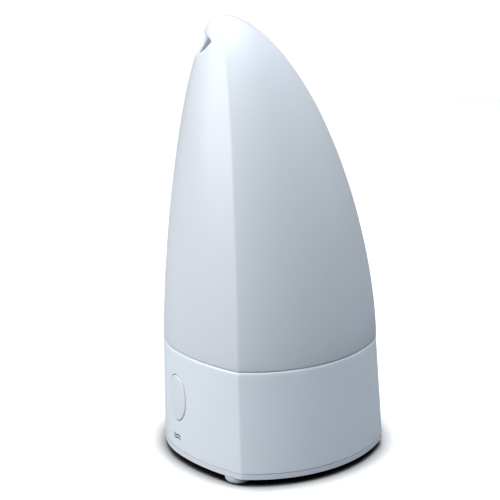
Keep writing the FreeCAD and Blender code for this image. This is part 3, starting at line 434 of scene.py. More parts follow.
def joined_mesh(name, verts, polygons, merge=True, turn_outwards=True):
    """Mesh from points and faces, with doubles merged and faces turned outwards where asked."""
    mesh = bpy.data.meshes.new(name)
    mesh.from_pydata(verts, [], polygons)
    work = bmesh.new()
    work.from_mesh(mesh)
    if merge:
        bmesh.ops.remove_doubles(work, verts=work.verts, dist=1e-6)
    if turn_outwards:
        bmesh.ops.recalc_face_normals(work, faces=work.faces)
    work.to_mesh(mesh)
    work.free()
    return mesh


def smooth_copy(node_name, piece_name, sharp_angle=30):
    """A merged, smoothly shaded copy of a CAD node's mesh, without the normals stored in it."""
    source = nodes[node_name].data
    verts = [v.co[:] for v in source.vertices]
    polygons = [p.vertices[:] for p in source.polygons]
    mesh = joined_mesh(piece_name, verts, polygons, turn_outwards=False)
    return finish_mesh(piece_name, mesh, sharp_angle)


plate = smooth_copy("bottom_plate", "bottom_plate_moulding")
dress(plate, satin_abs, "base", "plate_abs", "bottom_plate")

# ---- Feet ----
# Four round pads of pale moulded rubber pressed into pockets in the plate. Their lower edges are
# rounded, and the skin is matt with a fine even texture.
foot_rubber = moulded_plastic("pale rubber", "#C9CDD3", "#BFC4CB", 0.62, 0.35 * mm, 0.02 * mm)
for place_name in ("front_left", "front_right", "back_left", "back_right"):
    pad = smooth_copy("foot_" + place_name, "foot_pad_" + place_name, 50)
    dress(pad, foot_rubber, "base", "foot_rubber", "foot_" + place_name)

# ---- Water tank, cap and splash guard ----
# Three mouldings in natural polypropylene: the tank with its raised rim and air standpipe, the
# little cap over the pipe, and the lid with its chimney that lies loose inside the rim.
tank_plastic = moulded_plastic(
    "natural polypropylene", "#DCE3EA", "#D2DAE3", 0.38, 0.8 * mm, 0.006 * mm,
    **{"Subsurface Weight": 0.25, "Subsurface Scale": 0.004})
tank = smooth_copy("water_tank", "tank_moulding")
dress(tank, tank_plastic, "base", "tank_pp", "water_tank")
pipe_cap = smooth_copy("standpipe_cap", "pipe_cap_moulding")
dress(pipe_cap, tank_plastic, "base", "tank_pp", "standpipe_cap")
guard = smooth_copy("splash_guard", "guard_moulding")
dress(guard, tank_plastic, "guard", "tank_pp", "splash_guard")


# ---- Mist transducer ----
# A silvered ceramic disc held in a silicone ring by a turned steel retainer under the tank floor.
# The retainer shows the fine circles that turning leaves.
def turned_metal(name, colour, shade, centre, roughness=0.28, pitch=0.25 * mm):
    """Turned or drawn metal: fine circles about an upright axis, and slight colour variation."""
    material = new_material(name)
    place = add_node(material, "ShaderNodeTexCoord", {}).outputs["Object"]
    centred = add_node(material, "ShaderNodeMapping", {"Vector": place, "Location": [-c for c in centre]})
    rings = add_node(material, "ShaderNodeTexWave", {
        "Vector": centred.outputs[0], "Scale": 1 / (20 * pitch), "Distortion": 0.4, "Detail": 2.0},
        wave_type="RINGS", rings_direction="Z")
    cloud = add_node(material, "ShaderNodeTexNoise", {
        "Vector": place, "Scale": 1 / (6 * mm), "Detail": 3.0})
    tint = add_node(material, "ShaderNodeMix", {
        "Factor": cloud.outputs["Fac"], 6: linear(colour), 7: linear(shade)}, data_type="RGBA")
    rough = add_node(material, "ShaderNodeMapRange", {
        "Value": rings.outputs["Fac"], "To Min": roughness * 0.8, "To Max": roughness * 1.3})
    bump = add_node(material, "ShaderNodeBump", {"Height": rings.outputs["Fac"], "Distance": 0.004 * mm})
    shader = add_node(material, "ShaderNodeBsdfPrincipled", {
        "Base Color": tint.outputs[2], "Metallic": 1.0, "Roughness": rough.outputs[0],
        "Normal": bump.outputs[0]})
    add_node(material, "ShaderNodeOutputMaterial", {"Surface": shader.outputs[0]})
    return material


disc_low, disc_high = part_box("transducer_disc")
disc_centre = (disc_low + disc_high) / 2
silvered = turned_metal("silvered ceramic", "#D9D6CE", "#BDB9AE", disc_centre, 0.35)
steel = turned_metal("turned steel", "#B9BCC0", "#9EA2A8", disc_centre)
silicone = moulded_plastic(
    "clear silicone", "#C8CCD0", "#BCC1C7", 0.5, 0.5 * mm, 0.01 * mm,
    **{"Subsurface Weight": 0.3, "Subsurface Scale": 0.002})
for node_name, material, slot in (("transducer_disc", silvered, "transducer_metal"),
                                  ("transducer_gasket", silicone, "gasket_rubber"),
                                  ("transducer_retainer", steel, "retainer_steel")):
    dress(smooth_copy(node_name, node_name + "_piece"), material, "base", slot, node_name)

# ---- Fan and air duct ----
# A 40 mm axial fan in black glass-filled nylon blows up a white funnel into the standpipe.
# Only the rotor turns; its frame, spokes and the funnel are fixed.
fan_plastic = moulded_plastic("black fan nylon", "#1B1D20", "#24272B", 0.42, 0.3 * mm, 0.015 * mm)
inner_abs = moulded_plastic("plain white ABS", "#D6DADE", "#CDD2D7", 0.45, 0.5 * mm, 0.012 * mm)
dress(smooth_copy("fan_frame", "fan_frame_moulding"), fan_plastic, "base", "fan_black", "fan_frame")
dress(smooth_copy("fan_rotor", "fan_rotor_moulding"), fan_plastic, "rotor", "fan_black", "fan_rotor")
dress(smooth_copy("air_duct", "air_duct_moulding"), inner_abs, "base", "inner_abs", "air_duct")


# ---- Circuit boards and their components ----
# Green glass-epoxy boards with copper tracks under the mask. The main board carries a finned
# aluminium sink with its transistor, two capacitors, a wound choke and a controller chip.
def circuit_board(name, colour, track_colour, pitch):
    """Solder mask over copper: rows of tracks show as lighter raised lines."""
    material = new_material(name)
    place = add_node(material, "ShaderNodeTexCoord", {}).outputs["Object"]
    tracks = add_node(material, "ShaderNodeTexBrick", {
        "Vector": place, "Scale": 1.0, "Mortar Size": pitch * 0.12, "Mortar Smooth": 0.2,
        "Brick Width": pitch * 6, "Row Height": pitch,
        "Color1": (0, 0, 0, 1), "Color2": (0, 0, 0, 1), "Mortar": (1, 1, 1, 1)})
    weave = add_node(material, "ShaderNodeTexNoise", {
        "Vector": place, "Scale": 1 / (0.4 * mm), "Detail": 2.0})
    tint = add_node(material, "ShaderNodeMix", {
        "Factor": tracks.outputs["Color"], 6: linear(colour), 7: linear(track_colour)}, data_type="RGBA")
    rough = add_node(material, "ShaderNodeMapRange", {
        "Value": weave.outputs["Fac"], "To Min": 0.28, "To Max": 0.42})
    bump = add_node(material, "ShaderNodeBump", {"Height": tracks.outputs["Color"], "Distance": 0.03 * mm})
    shader = add_node(material, "ShaderNodeBsdfPrincipled", {
        "Base Color": tint.outputs[2], "Roughness": rough.outputs[0], "Normal": bump.outputs[0]})
    add_node(material, "ShaderNodeOutputMaterial", {"Surface": shader.outputs[0]})
    return material


def show_node(node_name, material):
    """Gives a CAD node that stays as it is its material."""
    nodes[node_name].data.materials.clear()
    nodes[node_name].data.materials.append(material)


board_green = circuit_board("green solder mask", "#1F5A38", "#2F7A4E", 2.0 * mm)
chip_black = moulded_plastic("black epoxy", "#17181A", "#1F2023", 0.5, 0.25 * mm, 0.01 * mm)
choke_core = moulded_plastic("lacquered ferrite", "#3A3026", "#4A3B2B", 0.4, 0.6 * mm, 0.05 * mm)
switch_black = moulded_plastic("black switch nylon", "#202225", "#2A2D31", 0.4, 0.3 * mm, 0.01 * mm)
lamp_phosphor = moulded_plastic("phosphor yellow lamp", "#E6DCA0", "#D9CB86", 0.3, 0.4 * mm, 0.004 * mm)
sink_low, sink_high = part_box("heat_sink")
sink_centre = (sink_low + sink_high) / 2
aluminium = turned_metal("extruded aluminium", "#C4C7CB", "#AEB2B7", sink_centre, 0.4, 0.4 * mm)
can_low, can_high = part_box("capacitors")
can_centre = (can_low + can_high) / 2
can_sleeve = turned_metal("capacitor can", "#8F979F", "#7B848D", can_centre, 0.35, 0.5 * mm)
for node_name, material in (("main_board", board_green), ("control_board", board_green),
                            ("light_board_left", board_green), ("light_board_right", board_green),
                            ("controller_chip", chip_black), ("power_transistor", chip_black),
                            ("mist_switch_body", switch_black), ("light_switch_body", switch_black),
                            ("heat_sink", aluminium), ("light_leds", lamp_phosphor)):
    show_node(node_name, material)
dress(smooth_copy("capacitors", "capacitor_cans"), can_sleeve, "base", "capacitor_can", "capacitors")
dress(smooth_copy("inductor", "choke"), choke_core, "base", "component_black", "inductor")
for word in ("mist", "light"):
    plunger = smooth_copy(word + "_switch_plunger", word + "_plunger")
    dress(plunger, switch_black, word + "_key", "switch_black", word + "_switch_plunger")

# ---- Leads ----
# PVC-insulated leads from the power inlet, fan, transducer and night-light boards, and a grey
# ribbon between the boards. The round leads have a soft sheen.
lead_black = moulded_plastic("black PVC", "#191A1C", "#222427", 0.35, 0.5 * mm, 0.01 * mm)
lead_red = moulded_plastic("red PVC", "#8E1F1C", "#7A1816", 0.35, 0.5 * mm, 0.01 * mm)
lead_white = moulded_plastic("white PVC", "#D5D7DA", "#C9CCD0", 0.35, 0.5 * mm, 0.01 * mm)
ribbon_grey = moulded_plastic("grey ribbon PVC", "#8C9198", "#7D838A", 0.4, 1.2 * mm, 0.05 * mm)
for node_name, material in (("jack_lead", lead_red), ("fan_lead", lead_black),
                            ("transducer_lead", lead_black), ("light_leads", lead_white)):
    dress(smooth_copy(node_name, node_name + "_sleeve", 60), material, "base", "lead_black", node_name)
show_node("ribbon_cable", ribbon_grey)

# ---- Power inlet ----
# A black nylon barrel socket against the inside of the back wall, with a nickel-plated centre
# pin. The pin is told from the block by its distance from the socket's own axis.
jack_low, jack_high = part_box("dc_jack")
jack_centre = (jack_low + jack_high) / 2
pin_reach = 1.2 * mm
inlet = new_material("black nylon with nickel pin")
place = add_node(inlet, "ShaderNodeTexCoord", {}).outputs["Object"]
centred = add_node(inlet, "ShaderNodeMapping", {
    "Vector": place, "Location": [-c for c in jack_centre], "Scale": (1, 0, 1)})
from_axis = add_node(inlet, "ShaderNodeVectorMath", {0: centred.outputs[0]}, operation="LENGTH")
is_pin = add_node(inlet, "ShaderNodeMath", {
    0: from_axis.outputs["Value"], 1: pin_reach}, operation="LESS_THAN")
fine = add_node(inlet, "ShaderNodeTexNoise", {"Vector": place, "Scale": 1 / (0.4 * mm), "Detail": 3.0})
tint = add_node(inlet, "ShaderNodeMix", {
    "Factor": is_pin.outputs[0], 6: linear("#1A1C1E"), 7: linear("#C9C6BE")}, data_type="RGBA")
rough = add_node(inlet, "ShaderNodeMapRange", {"Value": fine.outputs["Fac"], "To Min": 0.3, "To Max": 0.45})
bump = add_node(inlet, "ShaderNodeBump", {"Height": fine.outputs["Fac"], "Distance": 0.01 * mm})
shader = add_node(inlet, "ShaderNodeBsdfPrincipled", {
    "Base Color": tint.outputs[2], "Metallic": is_pin.outputs[0], "Roughness": rough.outputs[0],
    "Normal": bump.outputs[0]})
add_node(inlet, "ShaderNodeOutputMaterial", {"Surface": shader.outputs[0]})
dress(smooth_copy("dc_jack", "power_inlet"), inlet, "base", "switch_black", "dc_jack")


# ---- Screws ----
# Zinc-plated pan-head screws with a cross recess and rolled threads: four large ones close the
# base and four hold the fan, and small ones hold the boards and the transducer.
def lathe(name, profile, segments=32):
    """Solid turned about Z from a profile of (radius, height) that starts and ends on the axis."""
    mesh = bpy.data.meshes.new(name)
    work = bmesh.new()
    a = np.linspace(0, 2 * math.pi, segments, endpoint=False)
    rings = [[work.verts.new((radius * math.cos(t), radius * math.sin(t), height)) for t in a]
             for radius, height in profile]
    for low, high in zip(rings, rings[1:]):
        for i in range(segments):
            k = (i + 1) % segments
            work.faces.new((low[i], low[k], high[k], high[i]))
    bmesh.ops.remove_doubles(work, verts=work.verts, dist=1e-7)
    bmesh.ops.recalc_face_normals(work, faces=work.faces)
    work.to_mesh(mesh)
    work.free()
    return mesh


def screw_mesh(name, head_radius, head_height, shank_radius, length):
    """A screw whose head sits on z = 0 and whose shank runs down."""
    pitch = 0.9 * mm
    tip = shank_radius * 0.45
    root = shank_radius * 0.82
    crest = shank_radius * 0.98
    rim = 0.12 * mm
    profile = [(0, -length), (tip, -length)]
    for i in range(int((length - shank_radius) / pitch)):
        z = -length + shank_radius * 0.8 + i * pitch
        profile += [(root, z), (crest, z + pitch * 0.3), (crest, z + pitch * 0.4), (root, z + pitch * 0.7)]
    profile += [(root, -0.1 * mm), (root, 0), (head_radius * 0.97, 0), (head_radius, rim)]
    profile += [(head_radius * math.cos(t) ** 0.6, rim + (head_height - rim) * math.sin(t))
                for t in np.linspace(0.1, 1.2, 8)]
    profile += [(head_radius * f, head_height) for f in (0.42, 0.34, 0.26, 0.18, 0.1, 0.0)]
    mesh = lathe(name, profile)
    recess = head_height * 0.55
    arm_reach = head_radius * 0.6
    arm_half_width = head_radius * 0.13
    for vertex in mesh.vertices:
        x, y, z = vertex.co
        on_arm = min(abs(x), abs(y)) < arm_half_width and math.hypot(x, y) < arm_reach
        if z > head_height * 0.8 and on_arm:
            vertex.co.z -= recess * (1 - 0.5 * math.hypot(x, y) / arm_reach)
    return mesh


def repeated(name, template, places, facing, largest_turn, material, seed):
    """One piece set at every place: instanced on points, turned, made real and given its material."""
    tree = bpy.data.node_groups.new(name + " layout", "GeometryNodeTree")
    sockets = {}
    for label, kind in (("Geometry", "NodeSocketGeometry"), ("Piece", "NodeSocketObject"),
                        ("Facing", "NodeSocketVector"), ("Largest turn", "NodeSocketFloat"),
                        ("Seed", "NodeSocketInt"), ("Material", "NodeSocketMaterial")):
        sockets[label] = tree.interface.new_socket(label, in_out="INPUT", socket_type=kind).identifier
    tree.interface.new_socket("Geometry", in_out="OUTPUT", socket_type="NodeSocketGeometry")
    start = tree.nodes.new("NodeGroupInput")
    part = tree.nodes.new("GeometryNodeObjectInfo")
    chance = tree.nodes.new("FunctionNodeRandomValue")
    turn = tree.nodes.new("ShaderNodeCombineXYZ")
    placed = tree.nodes.new("GeometryNodeInstanceOnPoints")
    turned = tree.nodes.new("GeometryNodeRotateInstances")
    real = tree.nodes.new("GeometryNodeRealizeInstances")
    coated = tree.nodes.new("GeometryNodeSetMaterial")
    end = tree.nodes.new("NodeGroupOutput")
    link = tree.links.new
    link(start.outputs["Piece"], part.inputs["Object"])
    link(start.outputs["Largest turn"], chance.inputs[3])
    link(start.outputs["Seed"], chance.inputs["Seed"])
    link(chance.outputs[1], turn.inputs["Z"])
    link(start.outputs["Geometry"], placed.inputs["Points"])
    link(part.outputs["Geometry"], placed.inputs["Instance"])
    link(start.outputs["Facing"], placed.inputs["Rotation"])
    link(placed.outputs["Instances"], turned.inputs["Instances"])
    link(turn.outputs["Vector"], turned.inputs["Rotation"])
    link(turned.outputs["Instances"], real.inputs["Geometry"])
    link(real.outputs["Geometry"], coated.inputs["Geometry"])
    link(start.outputs["Material"], coated.inputs["Material"])
    link(coated.outputs["Geometry"], end.inputs["Geometry"])
    part_object = bpy.data.objects.new(name + "_template", template)
    bpy.context.scene.collection.objects.link(part_object)
    points = bpy.data.meshes.new(name)
    points.from_pydata([tuple(p) for p in places], [], [])
    piece = bpy.data.objects.new(name, points)
    bpy.context.scene.collection.objects.link(piece)
    layout = piece.modifiers.new("layout", "NODES")
    layout.node_group = tree
    for label, value in (("Piece", part_object), ("Facing", facing), ("Largest turn", largest_turn),
                         ("Seed", seed), ("Material", material)):
        layout[sockets[label]] = value
    made = bpy.data.meshes.new_from_object(piece.evaluated_get(bpy.context.evaluated_depsgraph_get()))
    piece.modifiers.remove(layout)
    piece.data = made
    made.name = name
    made.polygons.foreach_set("use_smooth", [True] * len(made.polygons))
    made.set_sharp_from_angle(angle=math.radians(35))
    bpy.data.objects.remove(part_object)
    return piece


def corner_places(node_name, head_radius, z):
    """The four places of a group of screws from the box around their heads."""
    low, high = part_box(node_name)
    return [(side * (high.x - head_radius), y, z) for side in (-1, 1)
            for y in (low.y + head_radius, high.y - head_radius)]


zinc = turned_metal("zinc-plated steel", "#C3C6C9", "#A9ADB2", (0, 0, 0), 0.32, 0.6 * mm)
small_head, small_rise, small_shank = 2.2 * mm, 1.5 * mm, 1.1 * mm
large_head, large_rise, large_shank = 2.75 * mm, 1.8 * mm, 1.5 * mm
head_up = (0.0, 0.0, 0.0)
head_down = (math.pi, 0.0, 0.0)
head_back = (-math.pi / 2, 0.0, 0.0)
ring_low, ring_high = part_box("retainer_screws")
ring_radius = ring_high.x - small_head
ring_seat = ring_low.z + small_rise
ring_places = [(ring_radius * math.cos(t), disc_centre.y + ring_radius * math.sin(t), ring_seat)
               for t in (0, 2 * math.pi / 3, 4 * math.pi / 3)]
board_low, board_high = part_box("control_board_screws")
board_places = [(0, board_high.y - small_rise, z)
                for z in (board_low.z + small_head, board_high.z - small_head)]
any_turn = 6.28
for number, (node_name, is_large, facing) in enumerate((
        ("housing_screws", True, head_down), ("fan_screws", True, head_up),
        ("main_board_screws", False, head_up), ("light_board_screws", False, head_down),
        ("retainer_screws", False, head_down), ("control_board_screws", False, head_back))):
    low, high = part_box(node_name)
    radius, rise, shank = small_head, small_rise, small_shank
    if is_large:
        radius, rise, shank = large_head, large_rise, large_shank
    size = high - low
    length = (size.y if facing == head_back else size.z) - rise
    seat = high.z - rise if facing == head_up else low.z + rise
    if node_name == "retainer_screws":
        places = ring_places
    elif node_name == "control_board_screws":
        places = board_places
    else:
        places = corner_places(node_name, radius, seat)
    template = screw_mesh(node_name + "_one", radius, rise, shank, length)
    screws = repeated(node_name + "_set", template, places, facing, any_turn, zinc, 7 + number)
    dress(screws, zinc, "base", "screw_steel", node_name)

# ---- Lamps ----
# Three round smoke-tinted acrylic light pipes, pushed into the front wall from behind so that
# their faintly domed ends lie flush, each with a small lamp on the board behind it.
pipe_length = pipe_high.y - pipe_low.y
pipe_radius = 1.15 * mm
pipe_dome = 0.12 * mm
pipe_edge = 0.2 * mm
collar_radius = 1.8 * mm
pipe_profile = [
    (0, -pipe_length), (pipe_radius, -pipe_length), (pipe_radius, -3.9 * mm),
    (collar_radius, -3.7 * mm), (collar_radius, -2.35 * mm), (pipe_radius, -2.3 * mm),
    (pipe_radius, -pipe_edge)]
pipe_profile += [(pipe_radius * math.cos(t), pipe_dome * math.sin(t) - pipe_edge)
                 for t in np.linspace(0.2, 1.57, 7)]
pipe_profile[-1] = (0, pipe_dome - pipe_edge)
smoke = new_material("smoke-tinted acrylic")
place = add_node(smoke, "ShaderNodeTexCoord", {}).outputs["Object"]
haze = add_node(smoke, "ShaderNodeTexNoise", {"Vector": place, "Scale": 1 / (0.6 * mm), "Detail": 2.0})
tint = add_node(smoke, "ShaderNodeMix", {
    "Factor": haze.outputs["Fac"], 6: linear("#0E1013"), 7: linear("#15181C")}, data_type="RGBA")
rough = add_node(smoke, "ShaderNodeMapRange", {"Value": haze.outputs["Fac"], "To Min": 0.3, "To Max": 0.4})
shader = add_node(smoke, "ShaderNodeBsdfPrincipled", {
    "Base Color": tint.outputs[2], "Roughness": rough.outputs[0], "IOR": 1.49, "Specular IOR Level": 0.3})
add_node(smoke, "ShaderNodeOutputMaterial", {"Surface": shader.outputs[0]})
pipe_places = [(0, pipe_low.y, z) for z in lamp_z]
face_front = (math.pi / 2, 0.0, 0.0)
pipes = repeated("light_pipe_set", lathe("light_pipe_one", pipe_profile), pipe_places, face_front,
                 0.0, smoke, 3)
dress(pipes, smoke, "base", "lamp_clear", "indicator_light_pipes")
lamp_epoxy = moulded_plastic("clear lamp epoxy", "#C9D3DC", "#BCC8D3", 0.12, 0.8 * mm, 0.002 * mm)
dress(smooth_copy("indicator_leds", "lamp_bulbs"), lamp_epoxy, "base", "lamp_clear", "indicator_leds")

# ---- Mist cover ----
# The tall one-piece cover: blow-moulded translucent polypropylene with a satin skin. It narrows
# to a rounded tip and has an eye-shaped mist outlet in its front face. It lifts straight off.
cover_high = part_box("mist_cover")[1]
cover_height = cover_high.z - seam
cover_fullness = 1.57
cover_rounding = 0.55
tip_crowding = 1.8
cover_wall = 2.2 * mm
flat_height = 0.36
outlet_half_width = 10.0 * mm
outlet_corner = cover_high.z - 13.0 * mm
outlet_rise = 3.2 * mm
outlet_drop = 8.2 * mm
outlet_lip = 0.6 * mm
cover_edge = 0.9 * mm
cover_edge_depth = 0.7 * mm
ridge_y = front_crown_y + crown_depth


def cover_share(height):
    """Share of the cover's height at a flattened height; rows crowd towards the tip."""
    return 1 - np.clip(1 - height / flat_height, 0, 1) ** tip_crowding


def cover_scale(share):
    """Size of the plan outline at a share of the cover's height."""
    return (1 - np.clip(share, 0, 1) ** cover_fullness) ** cover_rounding


def cover_place(run, height):
    """Points of the outer skin at distances along the outline and flattened heights."""
    x, y = plan(run)
    share = cover_share(height)
    scale = cover_scale(share)
    return np.stack([x * scale, ridge_y + y * scale, seam + share * cover_height + 0 * x], axis=-1)


def cover_to_flat(points):
    """From (x, z) on the front of the cover to (run, flattened height)."""
    share = (points[:, 1] - seam) / cover_height
    height = flat_height * (1 - (1 - share) ** (1 / tip_crowding))
    return np.column_stack([run_at_x(points[:, 0] / cover_scale(share)), height])


def eye_loop():
    """Eye-shaped outline of the mist outlet: a shallow arc above a deeper one, with its normals."""
    loop = []
    for sag, sign, count in ((outlet_rise, 1, 26), (outlet_drop, -1, 34)):
        radius = (outlet_half_width ** 2 + sag ** 2) / (2 * sag)
        half = math.asin(outlet_half_width / radius)
        for a in np.linspace(half, -half, count)[:-1]:
            x = radius * math.sin(a) * sign
            z = outlet_corner + sign * (radius * math.cos(a) - (radius - sag))
            loop.append((x, z))
    loop = np.array(loop)
    ahead = np.roll(loop, -1, axis=0) - loop
    behind = loop - np.roll(loop, 1, axis=0)
    ahead /= np.linalg.norm(ahead, axis=1)[:, None]
    behind /= np.linalg.norm(behind, axis=1)[:, None]
    tangent = ahead + behind
    tangent /= np.maximum(np.linalg.norm(tangent, axis=1)[:, None], 1e-9)
    return loop, np.column_stack([tangent[:, 1], -tangent[:, 0]])


eye, eye_normals = eye_loop()
eye_rings = lip_rings(eye, eye_normals, outlet_lip, cover_to_flat)
cover_columns = outline_columns(column_spacing)
edge_heights = np.array([0, 0.15, 0.35, 0.6, 0.9, 1.4]) * mm
edge_rows = edge_heights * flat_height / (tip_crowding * cover_height)
cover_rows = np.concatenate([edge_rows, np.linspace(0, flat_height, 104)[1:]])
flat, depths, faces = lattice(cover_columns, cover_rows, [eye_rings])
at_tip = flat[:, 1] >= flat_height - 1e-9
outer = cover_place(flat[:, 0], flat[:, 1])
into_seam = np.clip(1 - (outer[:, 2] - seam) / cover_edge, 0, 1)
normals = surface_normal(cover_place, flat[:, 0], flat[:, 1])
normals[at_tip] = (0, 0, 1)
depths = depths + cover_edge_depth * into_seam ** 2
cover = thick_shell("mist_cover_shell", outer, normals, depths, cover_wall, faces)

# Polypropylene lets light soak in and scatters it, so the wall looks milky, not glassy.
milky = new_material("milky polypropylene")
place = add_node(milky, "ShaderNodeTexCoord", {}).outputs["Object"]
cloud = add_node(milky, "ShaderNodeTexNoise", {"Vector": place, "Scale": 1 / (40 * mm), "Detail": 2.0})
tint = add_node(milky, "ShaderNodeMix", {
    "Factor": cloud.outputs["Fac"], 6: linear("#F1F4F8"), 7: linear("#ECF0F5")}, data_type="RGBA")
fine = add_node(milky, "ShaderNodeTexNoise", {"Vector": place, "Scale": 1 / (0.5 * mm), "Detail": 3.0})
bump = add_node(milky, "ShaderNodeBump", {
    "Height": fine.outputs["Fac"], "Distance": 0.004 * mm, "Strength": 0.6})
shader = add_node(milky, "ShaderNodeBsdfPrincipled", {
    "Base Color": tint.outputs[2], "Roughness": 0.33, "Normal": bump.outputs[0], "IOR": 1.49,
    "Subsurface Weight": 0.35, "Subsurface Scale": 0.01, "Subsurface Radius": (1.0, 1.0, 1.0)})
glow = add_node(milky, "ShaderNodeBsdfTranslucent", {"Color": linear("#EAF1F8"), "Normal": bump.outputs[0]})
mixed = add_node(milky, "ShaderNodeMixShader", {"Fac": 0.28, 1: shader.outputs[0], 2: glow.outputs[0]})
add_node(milky, "ShaderNodeOutputMaterial", {"Surface": mixed.outputs[0]})
dress(cover, milky, "cover", "cover_pp", "mist_cover")

# ---- Keys ----
# Two oval keys of smooth light grey ABS that follow the curve of the wall, a shade proud of it.
# Each sits in its opening with a fine even gap, and its stem works a switch behind the wall.
key_proud = 0.3 * mm
key_dome = 0.25 * mm
key_material = moulded_plastic("smooth grey ABS", "#DADDE0", "#D5D8DC", 0.30)


def on_front(x, z):
    """Places and outward normals of the front wall at sideways places and heights."""
    run, height = front_to_flat(np.column_stack([x, z])).T
    return base_place(run, height), surface_normal(base_place, run, height)


def make_key(name, side):
    """Closed key: a domed face with a rounded edge, and a straight flange behind the wall."""
    count = 72
    edge = 0.5 * mm
    rings = [(0.0, 0.0)]
    rings += [(f, 0.0) for f in np.linspace(0.08, 0.94, 14)]
    rings += [(1 - edge * (1 - math.sin(a)) / key_half_width, edge * (1 - math.cos(a)))
              for a in np.linspace(math.pi / 10, math.pi / 2, 6)]
    a = np.linspace(0, 2 * math.pi, count, endpoint=False)
    points = []
    for share, drop in rings:
        place, normal = on_front(side * key_x + key_half_width * share * np.cos(a),
                                 key_z + key_half_height * share * np.sin(a))
        height = key_proud + key_dome * (1 - share ** 2) - drop
        points.append(place + normal * height)
    flange_width = key_half_width + key_flange
    flange_height = key_half_height + key_flange
    for half_x, half_z, depth in ((key_half_width, key_half_height, 2.6 * mm),
                                  (flange_width, flange_height, 2.75 * mm),
                                  (flange_width, flange_height, 3.6 * mm),
                                  (0, 0, 3.6 * mm)):
        place, normal = on_front(side * key_x + half_x * np.cos(a), key_z + half_z * np.sin(a))
        points.append(place + np.array([0, depth * 1.05, 0]))
    polygons = []
    for ring in range(len(points) - 1):
        here, ahead = ring * count, (ring + 1) * count
        for i in range(count):
            k = (i + 1) % count
            polygons.append((here + i, here + k, ahead + k, ahead + i))
    return finish_mesh(name, joined_mesh(name, np.vstack(points).tolist(), polygons), 50)


for side, word in ((1, "mist"), (-1, "light")):
    key = make_key(word + "_key_cap", side)
    dress(key, key_material, word + "_key", "button_abs", word + "_button")

# ---- Printed symbols ----
# A small pad-printed symbol under each key, in near-black ink: rising vapour under the right key
# and a rayed lamp under the left one. The ink lies a few hundredths of a millimetre proud.
ink = moulded_plastic("near-black ink", "#15181C", "#1B1F24", 0.45, 0.15 * mm, 0.003 * mm)
symbol_z = plate_top + 7.4 * mm
ink_height = 0.03 * mm
stroke_width = 0.8 * mm


def stroke(line, width):
    """Outline pairs along a printed line: points on either side of it."""
    line = np.array(line)
    way = np.gradient(line, axis=0)
    way /= np.linalg.norm(way, axis=1)[:, None]
    aside = np.column_stack([-way[:, 1], way[:, 0]]) * width / 2
    return line + aside, line - aside


def printed(name, lines, body):
    """Thin closed strips of ink that follow the wall, one along each line of (x, z) points."""
    verts, polygons = [], []
    for line in lines:
        left, right = stroke(line, stroke_width)
        base_index = len(verts)
        for flat_side in (left, right):
            place, normal = on_front(flat_side[:, 0], flat_side[:, 1])
            verts.extend((place + normal * ink_height).tolist())
            verts.extend((place - normal * ink_height).tolist())
        n = len(left)
        a, b, c, d = (base_index + n * q for q in range(4))
        for i in range(n - 1):
            polygons += [(a + i, a + i + 1, c + i + 1, c + i), (b + i, d + i, d + i + 1, b + i + 1),
                         (a + i, b + i, b + i + 1, a + i + 1), (c + i, c + i + 1, d + i + 1, d + i)]
        e = n - 1
        polygons += [(a, c, d, b), (a + e, b + e, d + e, c + e)]
    mesh = joined_mesh(name, verts, polygons, merge=False)
    dress(finish_mesh(name, mesh, 40), ink, body)


wave_x = np.linspace(-3.2, 3.2, 34) * mm
wave_rise = 0.4 * mm * np.sin(wave_x / (0.8 * mm))
vapour = [np.column_stack([key_x + wave_x, symbol_z + rise * mm + wave_rise]) for rise in (-0.85, 0.85)]
ring = np.linspace(0, 2 * math.pi, 30)
ring_radius = 0.8 * mm
lamp_ring = [np.column_stack([ring_radius * np.cos(ring) - key_x, symbol_z + ring_radius * np.sin(ring)])]
ray_reach = np.array([1.25, 1.55, 1.85]) * mm
rays = [np.column_stack([ray_reach * math.cos(t) - key_x, symbol_z + ray_reach * math.sin(t)])
        for t in np.linspace(0, 2 * math.pi, 8, endpoint=False)]
printed("mist_symbol", vapour, "base")
printed("light_symbol", lamp_ring + rays, "base")

# ---- Floor, light and camera ----
# A plain white table top in soft studio light from above, from the right and from the front. The
# paper looks white to the camera but is painted darker for bounce and reflection rays, so it gives
# little light back to the object, and a painted contact shadow darkens it close round the feet.
floor_mesh = bpy.data.meshes.new("table_top")
half_side = 0.9
corners = [(-half_side, -half_side, 0), (half_side, -half_side, 0),
           (half_side, half_side, 0), (-half_side, half_side, 0)]
floor_mesh.from_pydata(corners, [], [(0, 1, 2, 3)])
floor = bpy.data.objects.new("table_top", floor_mesh)
bpy.context.scene.collection.objects.link(floor)
paper = new_material("white paper")
place = add_node(paper, "ShaderNodeTexCoord", {}).outputs["Object"]
grain = add_node(paper, "ShaderNodeTexNoise", {"Vector": place, "Scale": 40.0})
tone = add_node(paper, "ShaderNodeMix", {
    "Factor": grain.outputs["Fac"], 6: linear("#FFFFFF"), 7: linear("#FAFAFA")}, data_type="RGBA")
# Painted shade: reflections see the paper light grey and bounce rays see it dark grey, so the object gets a
# darker reflection and little light from it.
bounce = add_node(paper, "ShaderNodeLightPath", {})
painted_reflection_tone = add_node(paper, "ShaderNodeMix", {
    "Factor": bounce.outputs["Is Glossy Ray"], 6: tone.outputs[2], 7: linear("#A9B2BC")}, data_type="RGBA")
shown = add_node(paper, "ShaderNodeMix", {
    "Factor": bounce.outputs["Is Diffuse Ray"], 6: painted_reflection_tone.outputs[2], 7: linear("#4A525B")},
    data_type="RGBA")
